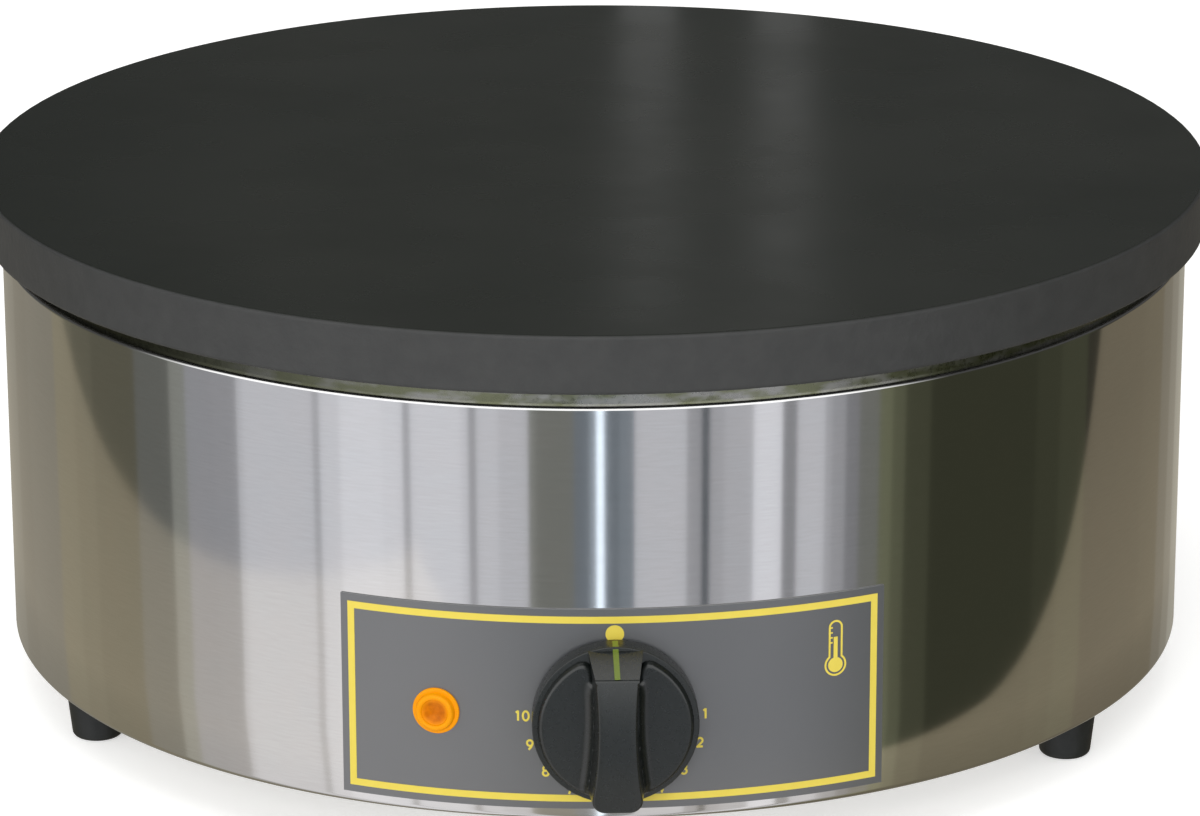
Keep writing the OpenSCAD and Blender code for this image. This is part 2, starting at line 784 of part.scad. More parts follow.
// ---- Control panel ----

module control_panel() {
    color(panel_grey) difference() {
        translate([0, 0, z_panel]) curved_sheet(panel_w, panel_h, casing_r + glue_t, panel_r);
        front_holes();
    }
}

// Cuts an outline that faces outwards down to the thickness of the print.
module printed(angle, z) {
    deep = 6;
    intersection() {
        translate([0, 0, z_panel]) curved_sheet(panel_w, panel_h, panel_r, print_r);
        on_drum(angle, z) translate([0, 0, -deep]) linear_extrude(2 * deep) children();
    }
}

module border_line() {
    w = panel_w - 2 * border_inset;
    h = panel_h - 2 * border_inset;
    difference() {
        translate([0, 0, z_panel + border_inset]) curved_sheet(w, h, panel_r, print_r);
        translate([0, 0, z_panel + border_inset + border_w])
            curved_sheet(w - 2 * border_w, h - 2 * border_w, panel_r - cut, print_r + cut);
    }
}

thermometer_bulb_r = 3.6;
thermometer_stem_w = 4.6;
thermometer_line = 0.6;
thermometer_column_w = 1.3;

module thermometer_outline(inset) {
    stem_r = thermometer_stem_w / 2 - inset;
    top = thermometer_h - thermometer_bulb_r - thermometer_stem_w / 2;
    circle(r = thermometer_bulb_r - inset);
    translate([-stem_r, 0]) square([2 * stem_r, top]);
    translate([0, top]) circle(r = stem_r);
}

module thermometer_sign() {
    column = thermometer_h * 0.5;
    tick_w = 1;
    tick_h = 0.45;
    difference() {
        thermometer_outline(0);
        thermometer_outline(thermometer_line);
    }
    circle(r = thermometer_bulb_r - 2 * thermometer_line);
    translate([-thermometer_column_w / 2, 0]) square([thermometer_column_w, column]);
    for (i = [0 : 3]) {
        translate([-thermometer_stem_w / 2 + thermometer_line / 2, column - 2 + 1.6 * i])
            square([tick_w, tick_h]);
    }
}

module panel_print() {
    color(print_yellow) {
        border_line();
        printed(0, z_dial + off_dot_r) circle(d = off_dot_d);
        printed(thermometer_angle, z_dial + thermometer_lift) thermometer_sign();
    }
}

// One stroke of a numeral: a line of even width along a short path.
module stroke(path, w) {
    t = tangents(path);
    left = [for (i = [0 : len(path) - 1]) path[i] + w / 2 * [-t[i].y, t[i].x]];
    right = [for (i = [len(path) - 1 : -1 : 0]) path[i] - w / 2 * [-t[i].y, t[i].x]];
    polygon(concat(left, right));
}

module ring_stroke(cx, cy, rx, ry, w) {
    n = 20;
    outer = [for (i = [0 : n - 1]) [cx + (rx + w / 2) * cos(360 * i / n), cy + (ry + w / 2) * sin(360 * i / n)]];
    inner = [for (i = [0 : n - 1]) [cx + (rx - w / 2) * cos(360 * i / n), cy + (ry - w / 2) * sin(360 * i / n)]];
    difference() {
        polygon(outer);
        polygon(inner);
    }
}

// Plain numerals on a grid 4 wide and 6 high.
module digit(c, w) {
    if (c == "0") ring_stroke(2, 3, 1.7, 2.8, w);
    if (c == "1") {
        stroke([[2.2, 0], [2.2, 6]], w);
        stroke([[0.9, 4.8], [2.4, 5.8]], w);
    }
    if (c == "2") {
        stroke(concat(arc_points(2, 4.3, 1.6, 170, -30, 8), [[1.2, 1.3], [0.3, 0.2]]), w);
        stroke([[0.2, w / 2], [3.8, w / 2]], w);
    }
    if (c == "3") {
        stroke(arc_points(1.9, 4.45, 1.4, 150, -90, 8), w);
        stroke(arc_points(1.9, 1.6, 1.6, 90, -150, 8), w);
    }
    if (c == "4") {
        stroke([[3, 0], [3, 6]], w);
        stroke([[2.9, 5.9], [0.4, 1.9]], w);
        stroke([[0, 1.8], [4, 1.8]], w);
    }
    if (c == "5") {
        stroke([[3.6, 5.7], [0.8, 5.7]], w);
        stroke([[1.1, 5.7], [0.8, 3.2]], w);
        stroke(arc_points(1.9, 1.9, 1.7, 130, -150, 8), w);
    }
    if (c == "6") {
        ring_stroke(2, 1.8, 1.6, 1.7, w);
        stroke([[0.5, 2.2], [1.2, 4.1], [2.7, 5.9]], w);
    }
    if (c == "7") {
        stroke([[0.2, 5.7], [3.8, 5.7]], w);
        stroke([[3.5, 5.6], [1.5, 0]], w);
    }
    if (c == "8") {
        ring_stroke(2, 4.4, 1.35, 1.35, w);
        ring_stroke(2, 1.6, 1.6, 1.6, w);
    }
    if (c == "9") {
        ring_stroke(2, 4.2, 1.6, 1.7, w);
        stroke([[3.5, 3.8], [2.8, 1.9], [1.3, 0.1]], w);
    }
}

module number(label) {
    s = numeral_h / 6;
    step = 4.6;
    scale([s, s, 1]) for (i = [0 : len(label) - 1]) {
        translate([-step * len(label) / 2 + step * i + 0.3, -3]) digit(label[i], numeral_line / s);
    }
}

module dial_numerals() {
    color(print_yellow) for (i = [0 : len(numerals) - 1]) {
        a = first_numeral_angle + numeral_step * i;
        r = dial_r + wide_numeral_shift * (len(numerals[i]) - 1);
        y = max(r * cos(a), -lowest_numeral);
        printed(r * sin(a) * deg_per_mm, z_dial + y) number(numerals[i]);
    }
}

// ---- Thermostat ----

module spindle_shape(r, flat, h) {
    intersection() {
        cylinder(r = r, h = h);
        translate([-r, -r, 0]) cube([2 * r, 2 * r - flat, h]);
    }
}

module thermostat_spindle() {
    start = thermostat_front + spindle_in;
    color(steel) on_drum(0, z_dial) {
        translate([0, 0, -start]) cylinder(d = spindle_d, h = start);
        translate([0, 0, 0])
            spindle_shape(spindle_d / 2, spindle_flat, knob_gap + spindle_reach);
    }
}

module thermostat_body() {
    color(black_plastic) on_drum(0, z_dial) translate([0, 0, -thermostat_back]) difference() {
        translate([-thermostat_w / 2, -thermostat_h / 2, 0])
            cube([thermostat_w, thermostat_h, thermostat_depth]);
        translate([0, 0, thermostat_depth - spindle_in - 1])
            cylinder(r = spindle_d / 2 + spindle_clear, h = spindle_in + 1 + cut);
        for (y = [-thermostat_screw_y, thermostat_screw_y]) {
            translate([0, y, thermostat_depth - thermostat_screw_len])
                cylinder(r = screw_d / 2 + hole_clear, h = thermostat_screw_len + cut);
        }
        for (x = [-tab_x, tab_x]) {
            translate([x - tab_w / 2 - fit_clear, -tab_t / 2 - fit_clear, -cut])
                cube([tab_w + 2 * fit_clear, tab_t + 2 * fit_clear, cut + 3]);
        }
    }
}

module thermostat_mount_plate() {
    color(steel) on_drum(0, z_dial) translate([0, 0, -thermostat_front]) difference() {
        translate([-mount_plate_w / 2, -thermostat_h / 2, 0])
            cube([mount_plate_w, thermostat_h, mount_plate_t]);
        translate([0, 0, -cut])
            cylinder(r = spindle_d / 2 + spindle_clear, h = mount_plate_t + 2 * cut);
        for (y = [-thermostat_screw_y, thermostat_screw_y]) {
            translate([0, y, -cut])
                cylinder(r = screw_d / 2 + thread_clear, h = mount_plate_t + 2 * cut);
        }
    }
}

thermostat_screw_len = 8;

module thermostat_screws() {
    color(steel) on_drum(0, z_dial) for (y = [-thermostat_screw_y, thermostat_screw_y]) {
        translate([0, y, panel_face]) rotate([180, 0, 0])
            pan_screw(screw_d, panel_face + thermostat_front + thermostat_screw_len - 2);
    }
}

module thermostat_tabs() {
    color(brass) on_drum(0, z_dial) for (x = [-tab_x, tab_x]) {
        translate([x - tab_w / 2, -tab_t / 2, -thermostat_back - tab_len])
            cube([tab_w, tab_t, tab_len + 2.9]);
    }
}

module sensing_bulb() {
    color(copper) translate([0, bulb_len / 2, z_bulb]) rotate([90, 0, 0])
        cylinder(d = bulb_d, h = bulb_len);
}

module bulb_clip() {
    r = bulb_d / 2 + fit_clear;
    flange_z = z_plate - element_gap - clip_t;
    color(steel) difference() {
        union() {
            translate([0, clip_w / 2, z_bulb]) rotate([90, 0, 0]) cylinder(r = r + clip_t, h = clip_w);
            translate([-clip_flange, -clip_w / 2, flange_z]) cube([2 * clip_flange, clip_w, clip_t]);
        }
        translate([0, clip_w / 2 + cut, z_bulb]) rotate([90, 0, 0]) cylinder(r = r, h = clip_w + 2 * cut);
        translate([-clip_flange - cut, -clip_w, flange_z + clip_t])
            cube([2 * clip_flange + 2 * cut, 2 * clip_w, bulb_d]);
        for (x = [-clip_screw_x, clip_screw_x]) {
            translate([x, 0, flange_z - cut]) cylinder(r = screw_d / 2 + hole_clear, h = clip_t + 2 * cut);
        }
    }
}

module bulb_clip_screws() {
    color(steel) for (x = [-clip_screw_x, clip_screw_x]) {
        translate([x, 0, z_plate - element_gap - clip_t])
            pan_screw(screw_d, clip_t + clip_screw_depth - 1);
    }
}

thermostat_y = -casing_r + thermostat_front;
capillary_route = [
    [0, -bulb_len / 2 - end_gap, z_bulb],
    [0, -bulb_len / 2 - 2, z_bulb],
    [0, -capillary_drop + 1.6, z_bulb - 1.8],
    [0, -capillary_drop, z_bulb - 6],
    [0, -capillary_drop, z_tray_floor + 8],
    [0, -capillary_drop, z_tray - 10],
    [3, -capillary_drop - 8, z_tray - 18],
    [12, -60, z_tray - 22],
    [14, -100, z_tray - 24],
    [13, -140, z_tray - 28],
    [10, thermostat_y + 18, z_dial + 34],
    [capillary_x, thermostat_y + 10, z_dial + 24],
    [capillary_x, thermostat_y + 10, z_dial + thermostat_h / 2 + end_gap]
];

module capillary_tube() {
    color(copper) swept_wire(capillary_route, capillary_d);
}

// ---- Pilot lamp ----

lens_flange_t = 0.8;
lens_wall = 0.9;
spigot_r = pilot_d / 2 - 1;
spigot_len = 5;

module pilot_lens() {
    color(amber) on_drum(pilot_angle, z_dial) translate([0, 0, panel_face]) difference() {
        union() {
            cylinder(d = lens_d, h = lens_flange_t);
            translate([0, 0, lens_flange_t])
                cylinder(d1 = lens_d, d2 = lens_face_d, h = lens_h - lens_flange_t);
            translate([0, 0, -spigot_len]) cylinder(r = spigot_r - fit_clear, h = spigot_len + lens_flange_t);
        }
        translate([0, 0, -spigot_len - cut])
            cylinder(r = spigot_r - fit_clear - lens_wall, h = spigot_len + lens_h - lens_wall + cut);
    }
}

module pilot_body() {
    h = pilot_len + panel_face;
    color(black_plastic) on_drum(pilot_angle, z_dial) translate([0, 0, -pilot_len]) difference() {
        cylinder(d = pilot_d, h = h);
        translate([0, 0, 2]) cylinder(r = spigot_r, h = h);
        for (x = [-2, 2]) {
            translate([x - 0.4, -1.5, -cut]) cube([0.8, 3, 2 + 2 * cut]);
        }
    }
}

module pilot_spring_nut() {
    r = pilot_d / 2 + 3.6;
    t = 0.6;
    back = casing_wall + r * r / (2 * casing_in_r) + fit_clear + t;
    color(steel) on_drum(pilot_angle, z_dial) translate([0, 0, -back])
        tube(r, pilot_d / 2 + thread_clear, t);
}

neon_r = 2.2;
neon_len = 10;

module pilot_neon() {
    color([0.95, 0.75, 0.6]) on_drum(pilot_angle, z_dial) {
        translate([0, 0, -pilot_len + 5]) cylinder(r = neon_r, h = neon_len - neon_r);
        translate([0, 0, -pilot_len + 5 + neon_len - neon_r]) sphere(r = neon_r);
        translate([0, 0, -pilot_len + 2]) cylinder(r = 1, h = 3.5);
    }
}

module pilot_tabs() {
    color(brass) on_drum(pilot_angle, z_dial) for (x = [-2, 2]) {
        translate([x - 0.3, -1.4, -pilot_len - 7]) cube([0.6, 2.8, 8.8]);
    }
}

// ---- Supply inlet, terminal block and wiring ----

module terminal_block() {
    color(ceramic) translate([0, block_y, z_base_top]) difference() {
        translate([-block_w / 2, -block_depth / 2, 0]) cube([block_w, block_depth, block_h]);
        for (i = [-1 : 1]) {
            translate([pole_pitch * i, -block_depth / 2 - cut, block_h / 2]) rotate([-90, 0, 0])
                cylinder(r = insert_r + fit_clear, h = block_depth + 2 * cut);
            for (y = [-5, 5]) {
                translate([pole_pitch * i, y, block_h / 2])
                    cylinder(r = head_r(block_clamp_d) + hole_clear, h = block_h);
            }
        }
        for (x = [-block_screw_x, block_screw_x]) {
            translate([x, 0, -cut]) cylinder(r = screw_d / 2 + hole_clear, h = block_h + 2 * cut);
        }
    }
}

module terminal_inserts() {
    color(brass) translate([0, block_y, z_base_top + block_h / 2]) for (i = [-1 : 1]) {
        translate([pole_pitch * i, 0, 0]) difference() {
            translate([0, -block_depth / 2 + 1, 0]) rotate([-90, 0, 0])
                cylinder(r = insert_r, h = block_depth - 2);
            translate([0, -block_depth / 2, 0]) rotate([-90, 0, 0])
                cylinder(r = insert_bore_r, h = block_depth);
            for (y = [-5, 5]) {
                translate([0, y, 0]) cylinder(r = block_clamp_d / 2 + thread_clear, h = insert_r + cut);
            }
        }
    }
}

module terminal_clamp_screws() {
    head_z = z_base_top + block_h / 2 + insert_r + 1.5;
    color(steel) for (i = [-1 : 1], y = [-5, 5]) {
        translate([pole_pitch * i, block_y + y, head_z]) rotate([180, 0, 0])
            pan_screw(block_clamp_d, insert_r + 1.5 - 0.6);
    }
}

module terminal_block_screws() {
    reach = block_h + base_t + 1;
    color(steel) for (x = [-block_screw_x, block_screw_x]) {
        translate([x, block_y, z_base_top + block_h]) rotate([180, 0, 0]) pan_screw(screw_d, reach);
    }
}

module gland_body() {
    color(black_plastic) on_drum(180, z_gland) difference() {
        union() {
            translate([0, 0, -gland_inside]) cylinder(d = gland_d, h = gland_inside + cut);
            hexagon_bar(gland_hex, gland_collar_t);
            cylinder(r = gland_outer_r, h = gland_collar_t + gland_outer_len);
        }
        translate([0, 0, -gland_inside - cut])
            cylinder(r = gland_bore_r, h = gland_inside + gland_collar_t + gland_outer_len + 2 * cut);
        translate([0, 0, seal_start])
            cylinder(r = seal_r + fit_clear, h = gland_collar_t + gland_outer_len);
    }
}

module gland_locknut() {
    start = casing_wall + locknut_gap;
    color(black_plastic) on_drum(180, z_gland) translate([0, 0, -start - locknut_t]) difference() {
        hexagon_bar(gland_hex, locknut_t);
        translate([0, 0, -cut]) cylinder(r = gland_d / 2 + thread_clear, h = locknut_t + 2 * cut);
    }
}

module gland_seal() {
    color(rubber_grey) on_drum(180, z_gland) translate([0, 0, seal_start + fit_clear])
        tube(seal_r, cable_d / 2, seal_len);
}

module gland_dome_nut() {
    dome_h = dome_len - dome_hex_len;
    inner_end = dome_len - 3;
    profile = [
        [gland_outer_r + thread_clear, 0],
        [gland_hex / 2, 0],
        [gland_hex / 2, dome_hex_len],
        [gland_hex / 2 - 0.8, dome_hex_len + dome_h * 0.35],
        [dome_tip_r + 1.6, dome_hex_len + dome_h * 0.75],
        [dome_tip_r, dome_len],
        [dome_hole_r, dome_len],
        [dome_hole_r, inner_end],
        [seal_r + fit_clear, seal_start + seal_len + 2 * fit_clear - dome_start],
        [seal_r + fit_clear, gland_collar_t + gland_outer_len - dome_start + fit_clear],
        [gland_outer_r + thread_clear, gland_collar_t + gland_outer_len - dome_start + fit_clear]
    ];
    color(black_plastic) on_drum(180, z_gland) translate([0, 0, dome_start]) {
        rotate_extrude() polygon(profile);
        difference() {
            hexagon_bar(gland_hex, dome_hex_len);
            translate([0, 0, -cut]) cylinder(r = gland_hex / 2 - 1, h = dome_hex_len + 2 * cut);
        }
    }
}

module earth_stud() {
    color(brass) translate([earth_x, earth_y, z_base - 2]) cylinder(d = earth_d, h = earth_len);
}

module earth_nuts() {
    color(brass) translate([earth_x, earth_y, z_base_top]) {
        hex_nut(earth_d);
        translate([0, 0, nut_t(earth_d) + wire_d]) hex_nut(earth_d);
    }
}

z_pole = z_base_top + block_h / 2;
pole_y = block_y - block_depth / 2 + 1;
z_pin = z_leg - pin_len;
tab_y = -casing_r + thermostat_back + tab_len;
wire_lift = 30; // height at which the wires run above the base

function wire_to_pin(p) = [
    [p.x + 12, p.y + 8, z_pin - 12],
    [p.x + 3, p.y + 2, z_pin - 9],
    [p.x, p.y, z_pin - 4],
    [p.x, p.y, z_pin - end_gap]
];

live_route = [
    [-pole_pitch, pole_y - end_gap, z_pole],
    [-pole_pitch, pole_y - 14, z_pole],
    [-22, 90, z_base_top + wire_lift],
    [-34, 30, z_base_top + wire_lift],
    [-10, -40, z_base_top + wire_lift],
    [18, -100, z_dial + 4],
    [tab_x, tab_y + 16, z_dial],
    [tab_x, tab_y + end_gap, z_dial]
];

neutral_route = concat(
    [
        [0, pole_y - end_gap, z_pole],
        [0, pole_y - 14, z_pole],
        [10, 90, z_base_top + wire_lift],
        [30, 50, z_base_top + wire_lift + 12]
    ],
    wire_to_pin(inner_leg)
);

element_route = concat(
    [
        [-tab_x, tab_y + end_gap, z_dial],
        [-tab_x, tab_y + 12, z_dial],
        [-16, tab_y + 24, z_dial + 6]
    ],
    wire_to_pin(outer_leg)
);

earth_route = [
    [pole_pitch, pole_y - end_gap, z_pole],
    [pole_pitch, pole_y - 12, z_pole],
    [30, pole_y - 20, z_pole + 4],
    [48, earth_y - 1, z_base_top + nut_t(earth_d) + wire_d / 2 + 1],
    [earth_x - earth_d / 2 - wire_d / 2, earth_y, z_base_top + nut_t(earth_d) + wire_d / 2]
];

pilot_back_r = casing_r - pilot_len - 7;
pilot_sin = sin(pilot_angle);
pilot_cos = cos(pilot_angle);
function behind_pilot(x, back, up) = [
    pilot_back_r * pilot_sin + x * pilot_cos - back * pilot_sin,
    -pilot_back_r * pilot_cos + x * pilot_sin + back * pilot_cos,
    z_dial + up
];

pilot_live_route = [
    behind_pilot(2, end_gap, 0),
    behind_pilot(2, 10, 0),
    behind_pilot(8, 22, 12),
    [outer_leg.x + 8, outer_leg.y - 6, z_pin - 24],
    [outer_leg.x - 2, outer_leg.y - 3, z_pin - 6],
    [outer_leg.x - pin_d / 2 - 0.9, outer_leg.y, z_pin + 3]
];

pilot_neutral_route = [
    behind_pilot(-2, end_gap, 0),
    behind_pilot(-2, 10, 0),
    behind_pilot(-12, 40, -10),
    [-70, -40, z_base_top + wire_lift],
    [-60, 40, z_base_top + wire_lift],
    [-34, 96, z_base_top + wire_lift - 6],
    [-pole_pitch - 5, pole_y - 12, z_pole + 6],
    [-4, pole_y - 5, z_pole + 3.4]
];

module live_wire() {
    color([0.4, 0.22, 0.12]) swept_wire(live_route, wire_d);
}

module element_wire() {
    color([0.25, 0.25, 0.27]) swept_wire(element_route, wire_d);
}

module neutral_wire() {
    color([0.15, 0.3, 0.6]) swept_wire(neutral_route, wire_d);
}

module earth_wire() {
    color([0.35, 0.6, 0.2]) swept_wire(earth_route, wire_d);
}

module pilot_wires() {
    color([0.85, 0.85, 0.85]) {
        swept_wire(pilot_live_route, wire_d * 0.6);
        swept_wire(pilot_neutral_route, wire_d * 0.6);
    }
}

// ---- Knob ----

function bar_side(y) =
    let (mean = (bar_top_w + bar_low_w) / 4, waist = bar_waist_w / 2)
    waist + (bar_top_w - bar_low_w) / 4 * y / bar_half + (mean - waist) * pow(y / bar_half, 2);

module bar_outline() {
    low = -bar_tail + bar_corner_r;
    side = [for (i = [0 : bar_steps]) let (y = bar_foot + (low - bar_foot) * i / bar_steps) [bar_side(y), y]];
    corner = arc_points(bar_side(low) - bar_corner_r, low, bar_corner_r, 0, -90, 5);
    half = concat(side, corner);
    other = [for (i = [len(half) - 1 : -1 : 0]) [-half[i].x, half[i].y]];
    polygon(concat(half, other));
}

module grip_bar() {
    face = knob_front + bar_h;
    intersection() {
        translate([0, 0, knob_front - cut]) linear_extrude(bar_h + 2 * cut) bar_outline();
        translate([-knob_r, 0, face - bar_arch_r]) rotate([0, 90, 0])
            cylinder(r = bar_arch_r, h = 2 * knob_r, $fn = 360);
        bar_end_slope(2 * knob_r, knob_r * 2, cut);
    }
}

// A slab that ends in the slope of the bar's pointer end: its width, length and how far it sinks.
module bar_end_slope(w, length, sink) {
    run = bar_slope / bar_h;
    translate([-w / 2, 0, 0]) rotate([90, 0, 90]) linear_extrude(w) polygon([
        [bar_foot + run * sink, knob_front - sink],
        [bar_half - run * cut, knob_front + bar_h + cut],
        [bar_half - run * cut - length, knob_front + bar_h + cut],
        [bar_foot + run * sink - length, knob_front - sink]
    ]);
}

// The skirt's solid, or the same drawn in on its side and front.
module knob_skirt(inset) {
    e = max(skirt_edge_r - inset, 0.1);
    r = knob_r - inset;
    front = knob_front - inset;
    profile = concat(
        [[0, knob_gap], [r, knob_gap]],
        arc_points(r - e, front - e, e, 0, 90, 4),
        [[0, front]]
    );
    rotate_extrude() polygon(profile);
}

module knob_cheeks() {
    top = knob_front + cheek_h;
    profile = concat(
        [[0, knob_front - cut], [cheek_r, knob_front - cut]],
        arc_points(cheek_r - cheek_edge_r, top - cheek_edge_r, cheek_edge_r, 0, 90, 4),
        [[0, top]]
    );
    difference() {
        rotate_extrude() polygon(profile);
        for (x = [-scoop_x, scoop_x]) {
            translate([x, knob_r, top + scoop_r - scoop_depth]) rotate([90, 0, 0])
                cylinder(r = scoop_r, h = 2 * knob_r, $fn = 180);
        }
        translate([-notch_w / 2, notch_y, knob_front]) cube([notch_w, knob_r, cheek_h + cut]);
    }
}

// The inlaid line: up the skirt's edge, across its face and up the bar's end.
module pointer_shape(grow) {
    t = pointer_t + grow;
    w = pointer_w + 2 * grow;
    bar_top = knob_front + bar_h - bar_end_drop - pointer_end_gap;
    intersection() {
        translate([-w / 2, bar_foot - t, knob_gap + 1 - grow]) cube([w, knob_r, bar_top]);
        difference() {
            knob_skirt(0);
            translate([0, 0, -cut]) knob_skirt(t);
            knob_skirt(t);
        }
    }
    intersection() {
        bar_end_slope(w, t, pointer_t);
        translate([-w / 2, 0, 0]) cube([w, knob_r, bar_top]);
    }
}

module knob() {
    color(black_plastic) on_drum(0, z_dial) difference() {
        union() {
            knob_skirt(0);
            knob_cheeks();
            grip_bar();
        }
        translate([0, 0, knob_gap - cut]) tube(knob_recess_r, hub_r, skirt_h - knob_web + cut);
        spindle_shape(spindle_d / 2 + fit_clear, spindle_flat, knob_gap + spindle_reach + fit_clear);
        translate([-1.5, spindle_d / 2 - spindle_flat, knob_gap - cut])
            cube([3, spring_t + fit_clear * 2, 8 + cut]);
        pointer_shape(thread_clear);
    }
}

module knob_pointer() {
    color([0.55, 0.62, 0.2]) on_drum(0, z_dial) pointer_shape(0);
}

module knob_spring() {
    color(steel) on_drum(0, z_dial)
        translate([-1.4, spindle_d / 2 - spindle_flat + fit_clear, knob_gap])
        cube([2.8, spring_t, 7.8]);
}

griddle_plate();
plate_studs();
element_clamp_star();
spacer_sleeves();
stud_washers();
stud_nuts();
heating_element();
element_insulators();
element_pins();
element_pin_nuts();
insulation_pad();
heat_tray();
tie_bolts();
tie_washers();
tie_nuts();
casing();
base_plate();
base_screws();
foot_front_left();
foot_front_right();
foot_rear();
foot_screws();
foot_washers();
foot_nuts();
control_panel();
panel_print();
dial_numerals();
thermostat_body();
thermostat_mount_plate();
thermostat_screws();
thermostat_tabs();
sensing_bulb();
bulb_clip();
bulb_clip_screws();
capillary_tube();
pilot_lens();
pilot_body();
pilot_spring_nut();
pilot_neon();
pilot_tabs();
terminal_block();
terminal_inserts();
terminal_clamp_screws();
terminal_block_screws();
gland_body();
gland_locknut();
gland_seal();
gland_dome_nut();
earth_stud();
earth_nuts();
live_wire();
element_wire();
neutral_wire();
earth_wire();
pilot_wires();
thermostat_spindle();
knob();
knob_pointer();
knob_spring();
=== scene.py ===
import math

import bmesh
import bpy
from mathutils import Matrix, Vector


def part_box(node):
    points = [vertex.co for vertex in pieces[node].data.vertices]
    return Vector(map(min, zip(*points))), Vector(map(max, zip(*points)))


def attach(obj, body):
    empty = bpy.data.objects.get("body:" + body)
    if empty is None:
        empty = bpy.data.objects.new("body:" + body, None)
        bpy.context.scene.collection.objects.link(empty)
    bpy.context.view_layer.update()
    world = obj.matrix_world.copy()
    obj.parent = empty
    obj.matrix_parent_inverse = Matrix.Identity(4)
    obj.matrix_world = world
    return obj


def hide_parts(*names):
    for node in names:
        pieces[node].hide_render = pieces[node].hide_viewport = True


# Electric crepe maker: a cast-iron plate on a brushed steel drum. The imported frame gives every
# piece at its real size and place, and each section below dresses one group of pieces.

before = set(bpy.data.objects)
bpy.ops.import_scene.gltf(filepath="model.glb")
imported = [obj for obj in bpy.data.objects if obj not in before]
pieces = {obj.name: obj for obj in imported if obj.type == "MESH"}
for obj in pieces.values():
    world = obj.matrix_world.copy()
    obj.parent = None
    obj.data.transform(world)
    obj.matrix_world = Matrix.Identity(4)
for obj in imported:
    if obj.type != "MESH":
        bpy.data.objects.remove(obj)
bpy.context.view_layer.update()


# ---------------------------------------------------------------------------------------------
# Viewpoint. The maker stands on a table, and is seen from the front and a little above, through
# a long lens that fills the picture with the plate.

photo_width = 1200            # pixels
focal_length = 5531.9         # pixels
sensor_width = 36.0           # mm
eye = Vector((-0.0532, -1.7477, 0.6597))
look_down = math.radians(18.23)
look_right = math.radians(1.804)
tilt = -0.0025                # radians

lens = bpy.data.cameras.new("viewpoint")
lens.sensor_width = sensor_width
lens.lens = focal_length / photo_width * sensor_width
camera = bpy.data.objects.new("viewpoint", lens)
bpy.context.scene.collection.objects.link(camera)
camera.matrix_world = (
    Matrix.Translation(eye)
    @ Matrix.Rotation(-look_right, 4, "Z")
    @ Matrix.Rotation(math.pi / 2 - look_down, 4, "X")
    @ Matrix.Rotation(tilt, 4, "Z")
)
bpy.context.scene.camera = camera


# ---------------------------------------------------------------------------------------------
# Table and lamps. A plain pale table that looks white away from the maker's shadow, and two soft
# panels of light. Shiny surfaces mirror the room and the worktop below instead of these.

table_size = 30.0
table_white = (0.82, 0.82, 0.81, 1)
table_glow = 0.5
lamp_colour = (1.0, 0.995, 0.98)


class Nodes:
    """The shader nodes of one material or of the world."""

    def __init__(self, tree):
        self.tree = tree

    def add(self, kind, **settings):
        node = self.tree.nodes.new("ShaderNode" + kind)
        for setting, value in settings.items():
            setattr(node, setting, value)
        return node

    def feed(self, socket, value):
        """Gives a socket a constant, or another node's output."""
        if isinstance(value, bpy.types.NodeSocket):
            self.tree.links.new(value, socket)
        else:
            socket.default_value = value

    def maths(self, operation, first, second):
        both = self.add("Math", operation=operation)
        self.feed(both.inputs[0], first)
        self.feed(both.inputs[1], second)
        return both.outputs[0]

    def range(self, value, low, high, start=0.3, end=0.7, curve="LINEAR"):
        """Goes from low to high as the value goes from start to end."""
        spread = self.add("MapRange", interpolation_type=curve)
        self.feed(spread.inputs["Value"], value)
        for socket, number in zip(("From Min", "From Max", "To Min", "To Max"),
                                  (start, end, low, high)):
            spread.inputs[socket].default_value = number
        return spread.outputs["Result"]

    def blend(self, share, first, second):
        """The first colour where the share is 0, and the second where it is 1."""
        mix = self.add("Mix", data_type="RGBA")
        self.feed(mix.inputs["Factor"], share)
        for socket, colour in ((mix.inputs[6], first), (mix.inputs[7], second)):
            self.feed(socket, (*colour, 1) if isinstance(colour, tuple) else colour)
        return mix.outputs[2]

    def part(self, vector, axis):
        """A vector's part along an axis."""
        split = self.add("SeparateXYZ")
        self.feed(split.inputs["Vector"], vector)
        return split.outputs[axis]


def soft_lamp(name, place, size, power, aim=(0, 0, 0.1)):
    """A square diffusing panel that faces the maker."""
    light = bpy.data.lights.new(name, "AREA")
    light.shape = "SQUARE"
    light.size = size
    light.energy = power
    light.color = lamp_colour
    lamp = bpy.data.objects.new(name, light)
    bpy.context.scene.collection.objects.link(lamp)
    lamp.location = place
    lamp.rotation_euler = (Vector(place) - Vector(aim)).to_track_quat("Z", "Y").to_euler()
    lamp.visible_glossy = False


def flat_sheets(name, corners):
    """Flat sheets, each with four corners, and the nodes of their material."""
    mesh = bpy.data.meshes.new(name)
    mesh.from_pydata(corners, [], [range(i, i + 4) for i in range(0, len(corners), 4)])
    sheets = bpy.data.objects.new(name, mesh)
    bpy.context.scene.collection.objects.link(sheets)
    material = bpy.data.materials.new(name)
    material.use_nodes = True
    mesh.materials.append(material)
    return sheets, Nodes(material.node_tree)


bpy.context.scene.view_settings.view_transform = "Standard"
soft_lamp("overhead_panel", (-0.3, -0.5, 2.2), 1.6, 9)
soft_lamp("front_left_panel", (-0.6, -2.8, 1.3), 1.2, 31)

